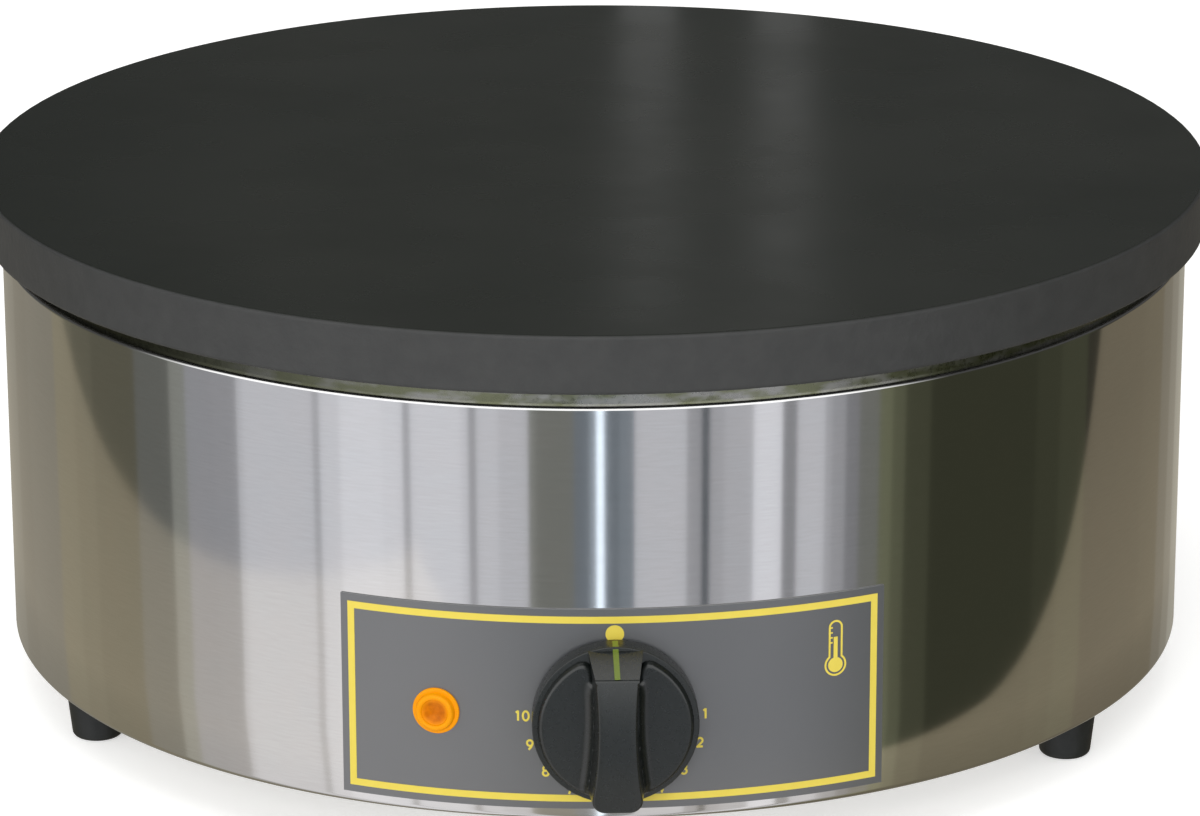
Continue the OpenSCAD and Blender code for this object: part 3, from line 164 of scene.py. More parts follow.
half = table_size / 2
table, surface = flat_sheets("table", [(-half, -half, 0), (half, -half, 0), (half, half, 0),
                                       (-half, half, 0)])
table.visible_glossy = False
paint = surface.tree.nodes["Principled BSDF"].inputs
paint["Base Color"].default_value = table_white
paint["Roughness"].default_value = 0.9
paint["Emission Color"].default_value = (1, 1, 1, 1)
ray = surface.add("LightPath").outputs
in_background = ray["Is Camera Ray"]
for kind in ("Is Glossy Ray", "Is Transmission Ray"):
    in_background = surface.maths("MAXIMUM", in_background, ray[kind])
surface.feed(paint["Emission Strength"], surface.maths("MULTIPLY", in_background, table_glow))


# ---------------------------------------------------------------------------------------------
# Room. The steel mirrors a white room with darker walls between its windows. Each wall or window
# is given by where it starts, in degrees round the maker (0 is the front, and the right is
# positive), how bright it is (an open window is about 1), and its tint.

soft_light = 0.67             # strength of the room's own light on matt surfaces
room_above = 0.09             # brightness of the room higher up
room_edge = (-0.08, 0.1)      # slopes of a ray between which the walls give way to it
whole_turn = 360

day = (0.98, 0.985, 1.05)
wall = (1.0, 0.95, 0.7)
shade = (1.0, 1.04, 0.66)
glass = (0.8, 0.9, 1.02)
plain = (1.0, 1.02, 0.94)
room_left = [
    (-180, 0.175, plain),
    (-155, 0.145, plain),
    (-146, 0.155, plain),
    (-130, 0.19, wall),
    (-121, 0.17, wall),
    (-114, 0.15, wall),
    (-101, 0.18, plain),
    (-91, 0.34, plain),
    (-86, 0.43, day),
    (-80, 0.44, day),
    (-74.3, 0.76, day),
    (-72, 0.83, day),
    (-57, 0.58, day),
    (-55.2, 0.93, day),
    (-51, 1.06, day),
    (-43, 1.02, day),
    (-39.2, 0.56, day),
    (-37.2, 0.98, day),
    (-27.5, 0.9, day),
    (-25.8, 0.48, day),
    (-24.2, 0.85, day),
    (-20, 0.76, day),
    (-15.2, 0.3, plain),
    (-13.6, 0.25, plain),
    (-6, 0.28, glass),
    (-3.6, 0.45, glass),
    (-2.4, 2.3, glass),
]
room_right = [
    (0, 0.28, glass),
    (2.8, 0.36, glass),
    (5.3, 0.79, day),
    (15.2, 0.5, day),
    (17, 0.14, glass),
    (19.1, 0.58, day),
    (22, 0.66, day),
    (28, 1.08, day),
    (33.4, 0.36, day),
    (35.6, 0.8, day),
    (41, 0.57, day),
    (43.2, 0.48, day),
    (46, 0.31, day),
    (48.3, 0.23, plain),
    (53, 0.2, shade),
    (55.5, 0.14, shade),
    (59, 0.08, shade),
    (64, 0.052, shade),
    (91, 0.062, shade),
    (98, 0.075, shade),
    (106, 0.05, wall),
    (130, 0.055, wall),
    (142, 0.09, plain),
    (148, 0.14, plain),
    (155, 0.22, plain),
]

# A wide window over the front, a little to the left, that lights the rim's bend.
window_way = (-0.26, -0.965, 0)
window_light = 1.75
window_foot = (-0.2, 0.02)    # slopes of a ray between which the window begins
window_side = (0.1, 0.5)      # shares of a ray along the window's way, at its soft sides

world = bpy.data.worlds.new("studio")
bpy.context.scene.world = world
world.use_nodes = True
room = Nodes(world.node_tree)
ray_way = room.add("TexCoord").outputs["Generated"]
from_back = room.add("Mapping")
from_back.inputs["Rotation"].default_value = (0, 0, math.radians(90))
room.feed(from_back.inputs["Vector"], ray_way)
compass = room.add("TexGradient", gradient_type="RADIAL")
room.feed(compass.inputs["Vector"], from_back.outputs["Vector"])
bearing = compass.outputs["Fac"]


def wall_band(walls):
    """The colours of these walls, by the direction that a mirrored ray takes."""
    band = room.add("ValToRGB")
    band.color_ramp.interpolation = "CONSTANT"
    room.feed(band.inputs["Fac"], bearing)
    marks = band.color_ramp.elements
    while len(marks) < len(walls):
        marks.new(1)
    for mark, (start, brightness, tint) in zip(marks, walls):
        mark.position = 0.5 + start / whole_turn
    for mark, (start, brightness, tint) in zip(marks, walls):
        mark.color = (*[brightness * part for part in tint], 1)
    return band.outputs["Color"]


def smooth_step(value, levels):
    """0 below the lower level, 1 above the upper one, and smooth between them."""
    return room.range(value, 0, 1, *levels, curve="SMOOTHSTEP")


def grey(brightness):
    return (brightness,) * 3


upward = room.part(ray_way, "Z")
on_the_right = room.maths("GREATER_THAN", bearing, 0.5)
all_round = room.blend(on_the_right, wall_band(room_left), wall_band(room_right))
towards_window = room.add("VectorMath", operation="DOT_PRODUCT")
room.feed(towards_window.inputs[0], ray_way)
towards_window.inputs[1].default_value = window_way
window = room.maths("MULTIPLY", smooth_step(towards_window.outputs["Value"], window_side),
                    smooth_step(upward, window_foot))
window_glow = room.add("VectorMath", operation="MULTIPLY_ADD")
room.feed(window_glow.inputs[0], window)
window_glow.inputs[1].default_value = grey(window_light)
room.feed(window_glow.inputs[2],
          room.blend(smooth_step(upward, room_edge), all_round, grey(room_above)))
mirrored_room = window_glow.outputs[0]

ray = room.add("LightPath").outputs
backdrop = room.blend(ray["Is Camera Ray"], grey(soft_light), grey(1.0))
backdrop = room.blend(ray["Is Transmission Ray"], backdrop, grey(1.0))
backdrop = room.blend(ray["Is Glossy Ray"], backdrop, mirrored_room)
room.feed(room.tree.nodes["Background"].inputs["Color"], backdrop)


# ---------------------------------------------------------------------------------------------
# Worktop and blinds, which only shiny surfaces see. The steel mirrors a brown worktop near its
# corner, polished, so that the room still shows in it. The plate's top mirrors two lit gaps
# between blinds behind the maker as pale streaks.

worktop_corner = Vector((-0.234, -0.428))
worktop_w, worktop_d = 3.0, 2.0
worktop_turn = math.radians(29.8)
worktop_height = 0.0005
worktop_brown = (0.22, 0.185, 0.13, 1)
near_shadow = (0.65, 1, 0.2, 0.25)     # brightness from and to, between two distances in metres
far_fade = (1.05, 0.8, 0.25, 0.5)      # from the maker's middle
blind_gaps = (0.032, 0.085)
gap_w, gap_y, gap_low, gap_high = 0.022, 0.35, 0.17, 0.45
gap_light = 0.28


def mirrored_sheets(name, corners):
    """The nodes of sheets that only shiny surfaces see, with their glow and where it goes out."""
    sheets, nodes = flat_sheets(name, corners)
    for sight in ("camera", "diffuse", "shadow", "transmission", "volume_scatter"):
        setattr(sheets, "visible_" + sight, False)
    nodes.tree.nodes.clear()
    glow = nodes.add("Emission")
    out = nodes.add("OutputMaterial").inputs["Surface"]
    nodes.feed(out, glow.outputs["Emission"])
    return nodes, glow, out


worktop_outline = [worktop_corner + Matrix.Rotation(worktop_turn, 2) @ Vector(corner)
                   for corner in ((0, 0), (worktop_w, 0), (worktop_w, worktop_d), (0, worktop_d))]
board, board_glow, board_out = mirrored_sheets(
    "worktop_card", [(x, y, worktop_height) for x, y in worktop_outline])
from_maker = board.add("VectorMath", operation="LENGTH")
board.feed(from_maker.inputs[0], board.add("TexCoord").outputs["Object"])
distance = from_maker.outputs["Value"]
board.feed(board_glow.inputs["Color"], worktop_brown)
board.feed(board_glow.inputs["Strength"],
           board.maths("MULTIPLY", board.range(distance, *near_shadow),
                       board.range(distance, *far_fade)))
polished = board.add("AddShader")
board.feed(polished.inputs[0], board_glow.outputs["Emission"])
board.feed(polished.inputs[1], board.add("BsdfTransparent").outputs["BSDF"])
board.feed(board_out, polished.outputs["Shader"])

gap_corners = [(x + side * gap_w / 2, gap_y, z) for x in blind_gaps
               for side, z in ((-1, gap_low), (1, gap_low), (1, gap_high), (-1, gap_high))]
blinds, gap_glow, gap_out = mirrored_sheets("blind_gaps", gap_corners)
blinds.feed(gap_glow.inputs["Strength"], gap_light)


# ---------------------------------------------------------------------------------------------
# Rubber feet. Three moulded cups, each held to the base plate by a screw in its recess.

class Finish(Nodes):
    """A material with one shader, and the textures that give it its grain, colour and wear."""

    def __init__(self, name, metal=0.0):
        self.material = bpy.data.materials.new(name)
        self.material.use_nodes = True
        super().__init__(self.material.node_tree)
        self.shader = self.tree.nodes["Principled BSDF"]
        self.set("Metallic", metal)
        self.place = self.add("TexCoord").outputs["Object"]
        self.normal = None

    def set(self, socket, value):
        """A constant, or a texture's output, on one of the shader's sockets."""
        self.feed(self.shader.inputs[socket], value)

    def colour(self, share, first, second):
        """The surface's colour, from the first to the second as the share goes from 0 to 1."""
        self.set("Base Color", self.blend(share, first, second))

    def grain(self, size, stretch=(1, 1, 1), detail=3.0):
        """Noise from 0 to 1 with features of this size in metres, longer along some axes."""
        noise = self.add("TexNoise")
        self.feed(noise.inputs["Vector"], self.scaled(size, stretch))
        noise.inputs["Scale"].default_value = 1.0
        noise.inputs["Detail"].default_value = detail
        return noise.outputs["Fac"]

    def cells(self, size):
        """Cells of this size in metres, from 0 in their middle."""
        crystals = self.add("TexVoronoi")
        self.feed(crystals.inputs["Vector"], self.scaled(size))
        crystals.inputs["Scale"].default_value = 1.0
        crystals.inputs["Detail"].default_value = 3.0
        return crystals.outputs["Distance"]

    def scaled(self, size, stretch=(1, 1, 1)):
        """The place on the piece, in units of this size."""
        mapping = self.add("Mapping")
        mapping.inputs["Scale"].default_value = [1 / (size * longer) for longer in stretch]
        self.feed(mapping.inputs["Vector"], self.place)
        return mapping.outputs["Vector"]

    def relief(self, height, depth):
        """Raises and sinks the surface by up to this depth in metres."""
        bump = self.add("Bump")
        bump.inputs["Distance"].default_value = depth
        self.feed(bump.inputs["Height"], height)
        if self.normal:
            self.feed(bump.inputs["Normal"], self.normal)
        self.normal = bump.outputs["Normal"]
        self.set("Normal", self.normal)

    def soften(self, radius):
        """Rounds the edges of moulded or turned pieces a little, where they catch the light."""
        rounding = self.add("Bevel", samples=6)
        rounding.inputs["Radius"].default_value = radius
        self.normal = rounding.outputs["Normal"]
        self.set("Normal", self.normal)

    def on(self, *names):
        """Puts this finish on pieces of the frame."""
        for name in names:
            for slot in pieces[name].material_slots:
                slot.material = self.material


rubber = Finish("moulded_rubber")
rubber.colour(rubber.grain(0.003), (0.009, 0.0105, 0.0105), (0.015, 0.017, 0.017))
rubber.set("Roughness", rubber.range(rubber.grain(0.004), 0.42, 0.6))
rubber.set("Specular IOR Level", 0.35)
rubber.soften(0.0006)
rubber.relief(rubber.grain(0.0004), 0.00003)
rubber.on("foot_front_left", "foot_front_right", "foot_rear")


# ---------------------------------------------------------------------------------------------
# Plated steel. Screws, nuts, washers, studs, bolts and brackets are zinc plated, with a faint
# bluish mottle.

plated = Finish("zinc_plated_steel", metal=1.0)
plated.colour(plated.grain(0.002), (0.5, 0.52, 0.55), (0.68, 0.68, 0.66))
plated.set("Roughness", plated.range(plated.grain(0.001), 0.26, 0.48))
plated.relief(plated.grain(0.0003), 0.00001)
plated.on("foot_screws", "foot_washers", "foot_nuts", "base_screws", "tie_bolts", "tie_washers",
          "tie_nuts", "plate_studs", "stud_washers", "stud_nuts", "element_clamp_star",
          "spacer_sleeves", "element_pins", "bulb_clip", "bulb_clip_screws",
          "thermostat_mount_plate", "thermostat_screws", "pilot_spring_nut",
          "terminal_clamp_screws", "terminal_block_screws", "thermostat_spindle", "knob_spring")


# ---------------------------------------------------------------------------------------------
# Base plate. A zinc-coated steel disc with cooling slots, screwed to the drum's bottom flange.

sheet_steel = Finish("zinc_coated_sheet", metal=1.0)
sheet_steel.colour(sheet_steel.cells(0.012), (0.42, 0.43, 0.44), (0.6, 0.61, 0.61))
sheet_steel.set("Roughness", sheet_steel.range(sheet_steel.grain(0.01), 0.34, 0.55))
sheet_steel.relief(sheet_steel.grain(0.0005), 0.00001)
sheet_steel.on("base_plate")


# ---------------------------------------------------------------------------------------------
# Drum. Stainless sheet, rolled, with its rim and its bottom edge turned in, and brushed along
# the sheet, so that the fine lines run level round it and its reflections stand upright.

steel = Finish("brushed_stainless", metal=1.0)
round_drum = steel.add("Tangent", direction_type="RADIAL", axis="Z")
steel.set("Tangent", round_drum.outputs["Tangent"])
steel.set("Anisotropic", 0.6)
steel.set("Anisotropic Rotation", 0.25)
brush_lines = steel.grain(0.0005, stretch=(14, 14, 1), detail=2)
handling = steel.range(steel.grain(0.012), 0, 1)
steel.colour(steel.range(brush_lines, 0, 1, 0.25, 0.75),
             steel.blend(handling, (0.555, 0.555, 0.55), (0.565, 0.56, 0.55)),
             steel.blend(handling, (0.58, 0.585, 0.58), (0.59, 0.585, 0.58)))
steel.set("Roughness", steel.range(handling, 0.08, 0.09, 0, 1))
steel.relief(brush_lines, 0.0000001)

mm = 0.001
drum_low, drum_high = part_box("casing")
drum_r = drum_high.x
sheet = 1 * mm
rim_bend = 1.2 * mm
foot_bend = 2 * mm
top_flange = 21.8 * mm
bottom_flange = 27 * mm
panel_levels = (39 * mm, 61 * mm)  # rings over and under the holes, that keep their cuts small
drill_reach = 12 * mm
gland_hole_r, spindle_hole_r, lamp_hole_r = 10.2 * mm, 6 * mm, 5 * mm
round_steps = 720
hole_steps = 48


def arc_line(x, y, radius, start, end, steps):
    """Points along an arc, its angles in degrees."""
    turns = [math.radians(start + (end - start) * step / steps) for step in range(steps + 1)]
    return [(x + radius * math.cos(turn), y + radius * math.sin(turn)) for turn in turns]


def turned(profile, steps, place=Matrix()):
    """The points and faces of a body turned about its Z axis, from its (radius, height) line."""
    points, faces = [], []
    for step in range(steps):
        angle = 2 * math.pi * step / steps
        across = Vector((math.cos(angle), math.sin(angle), 0))
        points += [place @ (across * radius + Vector((0, 0, height))) for radius, height in profile]
        this, following = step * len(profile), (step + 1) % steps * len(profile)
        faces += [(this + i, following + i, following + i + 1, this + i + 1)
                  for i in range(len(profile) - 1)]
    return points, faces


def mesh_piece(name, *parts, sharp=30):
    """One mesh object from several lists of points and faces, smooth but for its sharp edges."""
    shape = bmesh.new()
    for points, faces in parts:
        corners = [shape.verts.new(point) for point in points]
        for face in faces:
            shape.faces.new([corners[i] for i in face])
    bmesh.ops.remove_doubles(shape, verts=shape.verts, dist=0.001 * mm)
    bmesh.ops.recalc_face_normals(shape, faces=shape.faces)
    mesh = bpy.data.meshes.new(name)
    shape.to_mesh(mesh)
    shape.free()
    mesh.shade_smooth()
    mesh.set_sharp_from_angle(angle=math.radians(sharp))
    piece = bpy.data.objects.new(name, mesh)
    bpy.context.scene.collection.objects.link(piece)
    return piece


def stands_for(piece, node, finish, body):
    """The mesh piece takes the place of a CAD node, and moves with its body."""
    piece.data.materials.append(finish.material)
    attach(piece, body)
    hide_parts(node)


def facing_out(angle, height):
    """A frame on the drum's side: X to the right, Y up and Z outwards."""
    return (Matrix.Rotation(angle, 4, "Z") @ Matrix.Translation((0, -drum_r, height))
            @ Matrix.Rotation(math.pi / 2, 4, "X"))


def middle(node):
    low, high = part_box(node)
    return (low + high) / 2


rim_centre = (drum_r - rim_bend, drum_high.z - rim_bend)
foot_centre = (drum_r - foot_bend, drum_low.z + foot_bend)
drum_line = [(drum_r - bottom_flange, drum_low.z)]
drum_line += arc_line(*foot_centre, foot_bend, -90, 0, 8)
drum_line += [(drum_r, height) for height in panel_levels]
drum_line += arc_line(*rim_centre, rim_bend, 0, 90, 16)
drum_line += [(drum_r - top_flange, drum_high.z), (drum_r - top_flange, drum_high.z - sheet)]
drum_line += arc_line(*rim_centre, rim_bend - sheet, 90, 0, 8)
drum_line += [(drum_r - sheet, height) for height in reversed(panel_levels)]
drum_line += arc_line(*foot_centre, foot_bend - sheet, 0, -90, 6)
drum_line += [(drum_r - bottom_flange, drum_low.z + sheet), (drum_r - bottom_flange, drum_low.z)]
drum_shell = mesh_piece("drum_shell", turned(drum_line, round_steps))

lamp_turn = math.atan2(middle("pilot_lens").x, -middle("pilot_lens").y)
drum_holes = [
    (facing_out(math.pi, middle("gland_body").z), gland_hole_r),
    (facing_out(0, middle("knob").z), spindle_hole_r),
    (facing_out(lamp_turn, middle("pilot_lens").z), lamp_hole_r),
]
drills = []
for place, radius in drum_holes:
    drill_line = [(0, -drill_reach), (radius, -drill_reach), (radius, drill_reach),
                  (0, drill_reach)]
    drill = mesh_piece("drill", turned(drill_line, hole_steps, place))
    cut = drum_shell.modifiers.new("hole", "BOOLEAN")
    cut.object = drill
    drills.append(drill)
drilled = drum_shell.evaluated_get(bpy.context.evaluated_depsgraph_get())
drum_shell.data = bpy.data.meshes.new_from_object(drilled)
drum_shell.modifiers.clear()
for drill in drills:
    bpy.data.objects.remove(drill)
stands_for(drum_shell, "casing", steel, "root")


# ---------------------------------------------------------------------------------------------
# Heat tray. A pressed tray under the plate, yellow-passivated, whose edge shows in the gap
# between the drum and the plate. A felted pad under it keeps the heat in.

passivated = Finish("passivated_tray", metal=1.0)
mottle = passivated.range(passivated.grain(0.007, stretch=(1.6, 1.6, 0.6)), 0, 1, 0.4, 0.6)
# Painted shade: the tray's edge turns dark towards the left, where the gap under the plate lies in
# shade.
painted_shade_left_of_gap = passivated.range(passivated.part(passivated.place, "X"), 1, 0, -0.13, -0.03)
passivated.colour(painted_shade_left_of_gap, passivated.blend(mottle, (0.18, 0.19, 0.12), (0.31, 0.31, 0.29)),
                  (0.05, 0.052, 0.035))
passivated.set("Roughness", passivated.range(passivated.grain(0.002), 0.22, 0.36))
passivated.on("heat_tray")

felt = Finish("ceramic_felt")
felt.colour(felt.grain(0.004), (0.66, 0.64, 0.58), (0.84, 0.82, 0.77))
felt.set("Roughness", 0.95)
felt.relief(felt.grain(0.0006, detail=6), 0.0004)
felt.on("insulation_pad")


# ---------------------------------------------------------------------------------------------
# Heating element. A steel-sheathed tube, tinted by heat, with ceramic sleeves and brass nuts.

sheath = Finish("heat_tinted_sheath", metal=1.0)
sheath.colour(sheath.range(sheath.grain(0.02), 0, 1), (0.22, 0.2, 0.2), (0.4, 0.31, 0.2))
sheath.set("Roughness", sheath.range(sheath.grain(0.003), 0.36, 0.58))
sheath.on("heating_element")

porcelain = Finish("white_ceramic")
porcelain.colour(porcelain.grain(0.003), (0.74, 0.72, 0.66), (0.84, 0.82, 0.78))
porcelain.set("Roughness", 0.45)
porcelain.relief(porcelain.grain(0.0005), 0.00002)
porcelain.on("element_insulators", "terminal_block")

brass = Finish("turned_brass", metal=1.0)
brass.colour(brass.grain(0.002), (0.66, 0.48, 0.21), (0.78, 0.6, 0.3))
brass.set("Roughness", brass.range(brass.grain(0.0006), 0.24, 0.42))
brass.on("element_pin_nuts", "thermostat_tabs", "pilot_tabs", "terminal_inserts", "earth_stud",
         "earth_nuts")


# ---------------------------------------------------------------------------------------------
# Griddle plate. Cast iron, its top ground smooth and seasoned with oil, its edge left rougher.

iron = Finish("seasoned_cast_iron")
facing = iron.add("NewGeometry").outputs["Normal"]
on_top = iron.range(iron.part(facing, "Z"), 0, 1, 0.75, 0.98)
seasoning = iron.range(iron.grain(0.07, detail=6), 0, 1)
top_colour = iron.blend(seasoning, (0.0155, 0.0185, 0.0145), (0.021, 0.0235, 0.019))
# Painted shade: the top is darker towards the left, where less light falls on it.
painted_shade_left_of_top = iron.range(iron.part(iron.place, "X"), 1, 0, -0.2, -0.1)
top_colour = iron.blend(painted_shade_left_of_top, top_colour, (0.008, 0.011, 0.0075))
speckle = iron.range(iron.grain(0.006), 0, 1)
edge_colour = iron.blend(speckle, (0.037, 0.038, 0.038), (0.044, 0.045, 0.0445))
iron.colour(on_top, edge_colour, top_colour)
top_gloss = iron.range(iron.grain(0.05, detail=5), 0.22, 0.32)
iron.set("Roughness", iron.maths("ADD", iron.range(on_top, 0.3, 0, 0, 1), top_gloss))
iron.set("Specular IOR Level", 0.4)
cast_skin = iron.maths("ADD", iron.grain(0.005), iron.range(iron.grain(0.0022), 0, 0.4))
iron.relief(iron.maths("MULTIPLY", cast_skin, iron.range(on_top, 1, 0.04, 0, 1)), 0.00014)
iron.on("griddle_plate")


# ---------------------------------------------------------------------------------------------
# Control panel. A satin grey sheet bonded to the drum, with its print in yellow ink: a border,
# the off mark, the numbers round the dial and the sign of a thermometer.

overlay = Finish("satin_grey_sheet")
overlay.colour(overlay.grain(0.02), (0.073, 0.077, 0.082), (0.08, 0.084, 0.089))
overlay.set("Roughness", 0.32)
overlay.set("Specular IOR Level", 0.9)
overlay.set("IOR", 1.65)
overlay.relief(overlay.grain(0.00035), 0.000012)
overlay.on("control_panel")

ink = Finish("yellow_ink")
ink.colour(ink.grain(0.004), (0.82, 0.65, 0.08), (0.87, 0.71, 0.11))
ink.set("Roughness", 0.4)
ink.relief(ink.grain(0.0004), 0.00001)
ink.on("panel_print", "dial_numerals")


# ---------------------------------------------------------------------------------------------
# Thermostat and cable gland. Both are moulded in black plastic. The bulb and its capillary tube
# are copper.

moulding = Finish("black_moulding")
moulding.set("Base Color", (0.02, 0.021, 0.022, 1))
moulding.set("Roughness", moulding.range(moulding.grain(0.002), 0.36, 0.5))
moulding.soften(0.0004)
moulding.relief(moulding.grain(0.0003), 0.00002)
moulding.on("thermostat_body", "pilot_body", "gland_body", "gland_locknut", "gland_dome_nut")
rubber.on("gland_seal")

copper = Finish("drawn_copper", metal=1.0)
copper.colour(copper.grain(0.005), (0.62, 0.33, 0.21), (0.82, 0.48, 0.33))
copper.set("Roughness", copper.range(copper.grain(0.001), 0.22, 0.4))
copper.on("sensing_bulb", "capillary_tube")


# ---------------------------------------------------------------------------------------------
# Pilot lamp. A clear amber cap with a flange, a bright ring and a dished face, over a neon. The
# plastic looks deeper where it is thicker, towards the middle.

lamp_place = facing_out(lamp_turn, middle("pilot_lens").z) @ Matrix.Scale(mm, 4)
panel_face = 0.6                   # mm in front of the drum
lens_line = [(0, 1.2), (1.2, 1.3), (4.0, 2.1)]      # radius and height in mm, to the tube's end
lens_line += arc_line(4.95, 1.95, 0.95, 150, 0, 10)
lens_line += [(6.15, 0.85)]
lens_line += arc_line(6.9, 0.4, 0.4, 90, 0, 5)
lens_line += [(7.3, 0), (3.8, 0), (3.8, -5), (2.9, -5), (2.9, 0.4), (0, 0.4)]
lens_steps = 96
lamp_lens = mesh_piece("lamp_lens", turned([(r, panel_face + h) for r, h in lens_line], lens_steps,
                                           lamp_place), sharp=50)

amber = Finish("amber_cap")
lens_middle = lamp_place @ Vector((0, 0, panel_face + lens_line[0][1]))
from_middle = amber.add("VectorMath", operation="DISTANCE")
amber.feed(from_middle.inputs[0], amber.place)
from_middle.inputs[1].default_value = lens_middle
depth = amber.range(from_middle.outputs["Value"], 0, 1, 0.003, 0.0046)
streaks = amber.range(amber.grain(0.003), 0, 1)
dish = amber.blend(streaks, (0.43, 0.095, 0.0), (0.69, 0.195, 0.0))
amber_colour = amber.blend(depth, dish, (0.88, 0.33, 0.002))
amber.set("Base Color", amber_colour)
amber.set("Roughness", 0.16)
# Painted glow: the cap gives off a little light in its own colour, though the neon behind it is not
# lit.
amber.set("Emission Color", amber_colour)
amber.set("Emission Strength", 0.12)
amber.set("Subsurface Weight", 0.15)
amber.set("Subsurface Radius", (0.003, 0.0012, 0.0002))
amber.set("Specular IOR Level", 0.12)
amber.relief(amber.grain(0.0015), 0.00005)
stands_for(lamp_lens, "pilot_lens", amber, "root")

neon = Finish("clear_glass")
neon.colour(neon.grain(0.003), (0.96, 0.88, 0.82), (0.98, 0.94, 0.9))
neon.set("Roughness", 0.05)
neon.set("Transmission Weight", 0.9)
neon.on("pilot_neon")


# ---------------------------------------------------------------------------------------------
# Inner wiring. Heat-proof insulated wires in the usual colours.

wire_colours = {
    "live_wire": (0.16, 0.06, 0.03),
    "element_wire": (0.2, 0.2, 0.21),
    "neutral_wire": (0.03, 0.12, 0.38),
    "earth_wire": (0.12, 0.36, 0.05),
    "pilot_wires": (0.72, 0.72, 0.7),
}
for wire, colour in wire_colours.items():
    jacket = Finish(wire + "_jacket")
    darker = tuple(part * 0.8 for part in colour)
    jacket.colour(jacket.grain(0.006), darker, colour)
    jacket.set("Roughness", 0.4)
    jacket.relief(jacket.grain(0.0006), 0.00002)
    jacket.on(wire)


# ---------------------------------------------------------------------------------------------
# Knob. Moulded in black plastic with a fine grain: a skirt, two raised cheeks that sweep up to a
# tall grip bar, and a painted line that points at the dial. Its sizes are in millimetres.

knob_black = Finish("grained_knob")
knob_black.set("Base Color", (0.0075, 0.0098, 0.0092, 1))
knob_black.set("Roughness", knob_black.range(knob_black.grain(0.0015), 0.26, 0.31))
knob_black.set("Specular IOR Level", 0.55)
knob_black.relief(knob_black.grain(0.00025), 0.00001)

dial = facing_out(0, middle("knob").z) @ Matrix.Scale(mm, 4)
skirt_r, skirt_face, skirt_back, skirt_edge = 25.17, 7.97, 1.5, 0.3
hollow_r, hollow_face = 22.2, 6    # the hollow behind the skirt, round the hub
hub_r, bore_r, bore_end = 6.5, 3.05, 7.4
cheek_r, cheek_rise, cheek_edge = 23.3, 2.3, 1.2
cheek_fall = 6                     # steepness of the cheeks' outer sides
notch_half, notch_low, notch_corner, notch_lean = 7.0, 15, 5.0, 2
root_r, root_fade = 3.0, 6         # the sweep from the cheeks up to the bar, and its end's length
root_gap = 0.25                    # from the bar's foot to where the sweep would stand upright
bar_half, bar_tail, bar_face, bar_arch_r = 20.57, 22.17, 25.38, 120
bar_waist, bar_top, bar_low = 5.85, 6.6, 8.0    # half widths of the bar's face
draft = 1.3                        # how much wider the bar's foot is, on each side
bar_slope, tail_slope = 3.4, 0.6   # how much longer the bar's foot is, at its two ends
bar_edge = 0.7
bar_corner, foot_corner = 4, 4.4   # the bar's round lower end, at its face and at its foot
cheek_sunk, bar_sunk = 0.4, 0.3    # how far the cheeks and the bar reach into the skirt
covered_w, covered_half = 1.5, 18  # where the bar covers the cheeks: in from its sides, and along
height_step = 0.35
side_steps, corner_steps, edge_steps = 24, 8, 5
skirt_steps = 180


def bar_side(y):
    """Half of the width of the bar's face."""
    mean = (bar_top + bar_low) / 2
    lean = (bar_top - bar_low) / 2
    return bar_waist + lean * y / bar_half + (mean - bar_waist) * (y / bar_half) ** 2


def cheek_height(x, y):
    """Height of the cheeks over the skirt's face. It is below the face outside them."""
    to_rim = cheek_r - math.hypot(x, y)
    to_notch = abs(x) - notch_half + notch_lean * max(0, notch_low - y)
    if to_rim < notch_corner and to_notch < notch_corner:
        inside = notch_corner - math.hypot(notch_corner - to_rim, notch_corner - to_notch)
    else:
        inside = min(to_rim, to_notch)
    if inside <= 0:
        return max(-cheek_sunk, cheek_rise - cheek_edge + cheek_fall * inside)
    edge = cheek_edge - min(inside, cheek_edge)
    rise = cheek_rise - cheek_edge + math.sqrt(cheek_edge ** 2 - edge ** 2)
    to_bar = min(root_r, max(0, abs(x) - bar_side(y) - draft + root_gap))
    sweep = root_r - math.sqrt(root_r ** 2 - (root_r - to_bar) ** 2)
    from_notch = max(0, notch_low + 2 - y)
    return rise + sweep * min(1, inside / root_r) * min(1, from_notch / root_fade)


def cheeks():
    """A field of heights over the skirt, left out where the bar stands on it."""
    reach = cheek_r + 2 * height_step
    count = round(2 * reach / height_step)
    rows = [-reach + height_step * i for i in range(count + 1)]
    points = [dial @ Vector((x, y, skirt_face + cheek_height(x, y))) for y in rows for x in rows]
    faces = []
    for j, y in enumerate(rows[:-1]):
        for i, x in enumerate(rows[:-1]):
            hidden = abs(x) < bar_side(y) - covered_w and abs(y) < covered_half
            if math.hypot(x, y) < reach and not hidden:
                corner = j * (count + 1) + i
                faces.append((corner, corner + 1, corner + count + 2, corner + count + 1))
    return points, faces


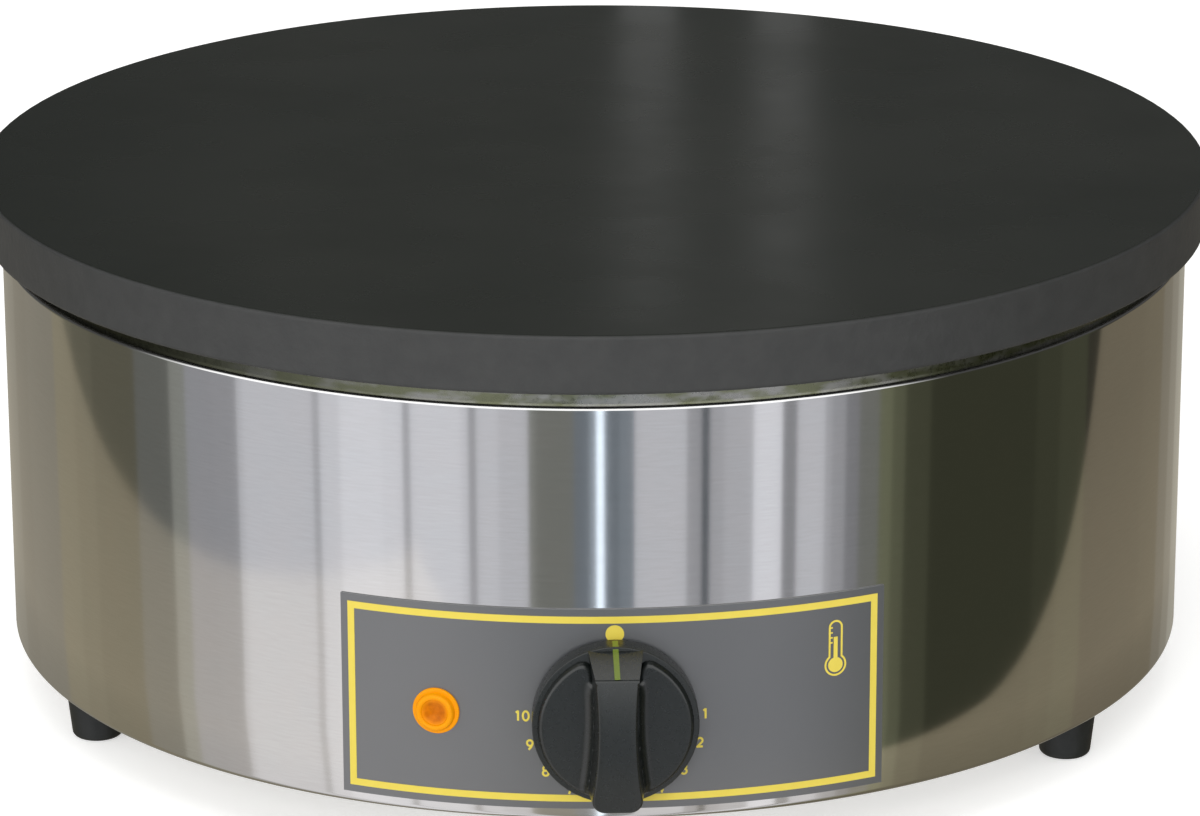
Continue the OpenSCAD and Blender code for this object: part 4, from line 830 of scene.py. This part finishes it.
def bar_outline(top, bottom, wider, corner):
    """Points round the bar at one level."""
    low = bottom + corner
    levels = [top + (low - top) * i / side_steps for i in range(side_steps)]
    side = [(bar_side(y) + wider, y) for y in levels]
    side += arc_line(bar_side(low) + wider - corner, low, corner, 0, -90, corner_steps)
    return side + [(-x, y) for x, y in reversed(side)]


def drawn_in(outline, distance):
    """The outline moved inwards by this distance."""
    moved = []
    for i, (x, y) in enumerate(outline):
        before, after = outline[i - 1], outline[(i + 1) % len(outline)]
        along = Vector((after[0] - before[0], after[1] - before[1])).normalized()
        moved.append((x + along.y * distance, y - along.x * distance))
    return moved


def grip_bar():
    """Rings of points from the bar's foot up its sides, over its edge and across its face."""
    def face_height(y):
        return bar_face - bar_arch_r + math.sqrt(bar_arch_r ** 2 - y ** 2)

    foot = bar_outline(bar_half + bar_slope, -bar_tail - tail_slope, draft, foot_corner)
    face = bar_outline(bar_half, -bar_tail, 0, bar_corner)
    rings = [[(x, y, skirt_face - bar_sunk) for x, y in foot]]
    for step in range(edge_steps + 1):
        turn = math.pi / 2 * step / edge_steps
        inner = drawn_in(face, bar_edge * (1 - math.cos(turn)))
        rings.append([(x, y, face_height(y) - bar_edge * (1 - math.sin(turn)))
                      for x, y in inner])
    rings += [[(x * share, y, face_height(y)) for x, y in inner] for share in (0.7, 0.35, 0)]
    size = len(face)
    points = [dial @ Vector(point) for ring in rings for point in ring]
    faces = [(a + i, a + (i + 1) % size, b + (i + 1) % size, b + i)
             for a, b in [(size * r, size * (r + 1)) for r in range(len(rings) - 1)]
             for i in range(size)]
    return points, faces + [tuple(range(size))]


skirt_line = [(0, bore_end), (bore_r, bore_end), (bore_r, skirt_back), (hub_r, skirt_back),
              (hub_r, hollow_face), (hollow_r, hollow_face), (hollow_r, skirt_back),
              (skirt_r, skirt_back)]
skirt_line += arc_line(skirt_r - skirt_edge, skirt_face - skirt_edge, skirt_edge, 0, 90, 6)
skirt_line += [(0, skirt_face)]
grip = mesh_piece("moulded_knob", turned(skirt_line, skirt_steps, dial), cheeks(), grip_bar())
stands_for(grip, "knob", knob_black, "knob")

line_paint = Finish("pointer_paint")
line_paint.colour(line_paint.grain(0.001), (0.14, 0.2, 0.02), (0.17, 0.23, 0.03))
line_paint.set("Roughness", 0.45)
line_paint.on("knob_pointer")
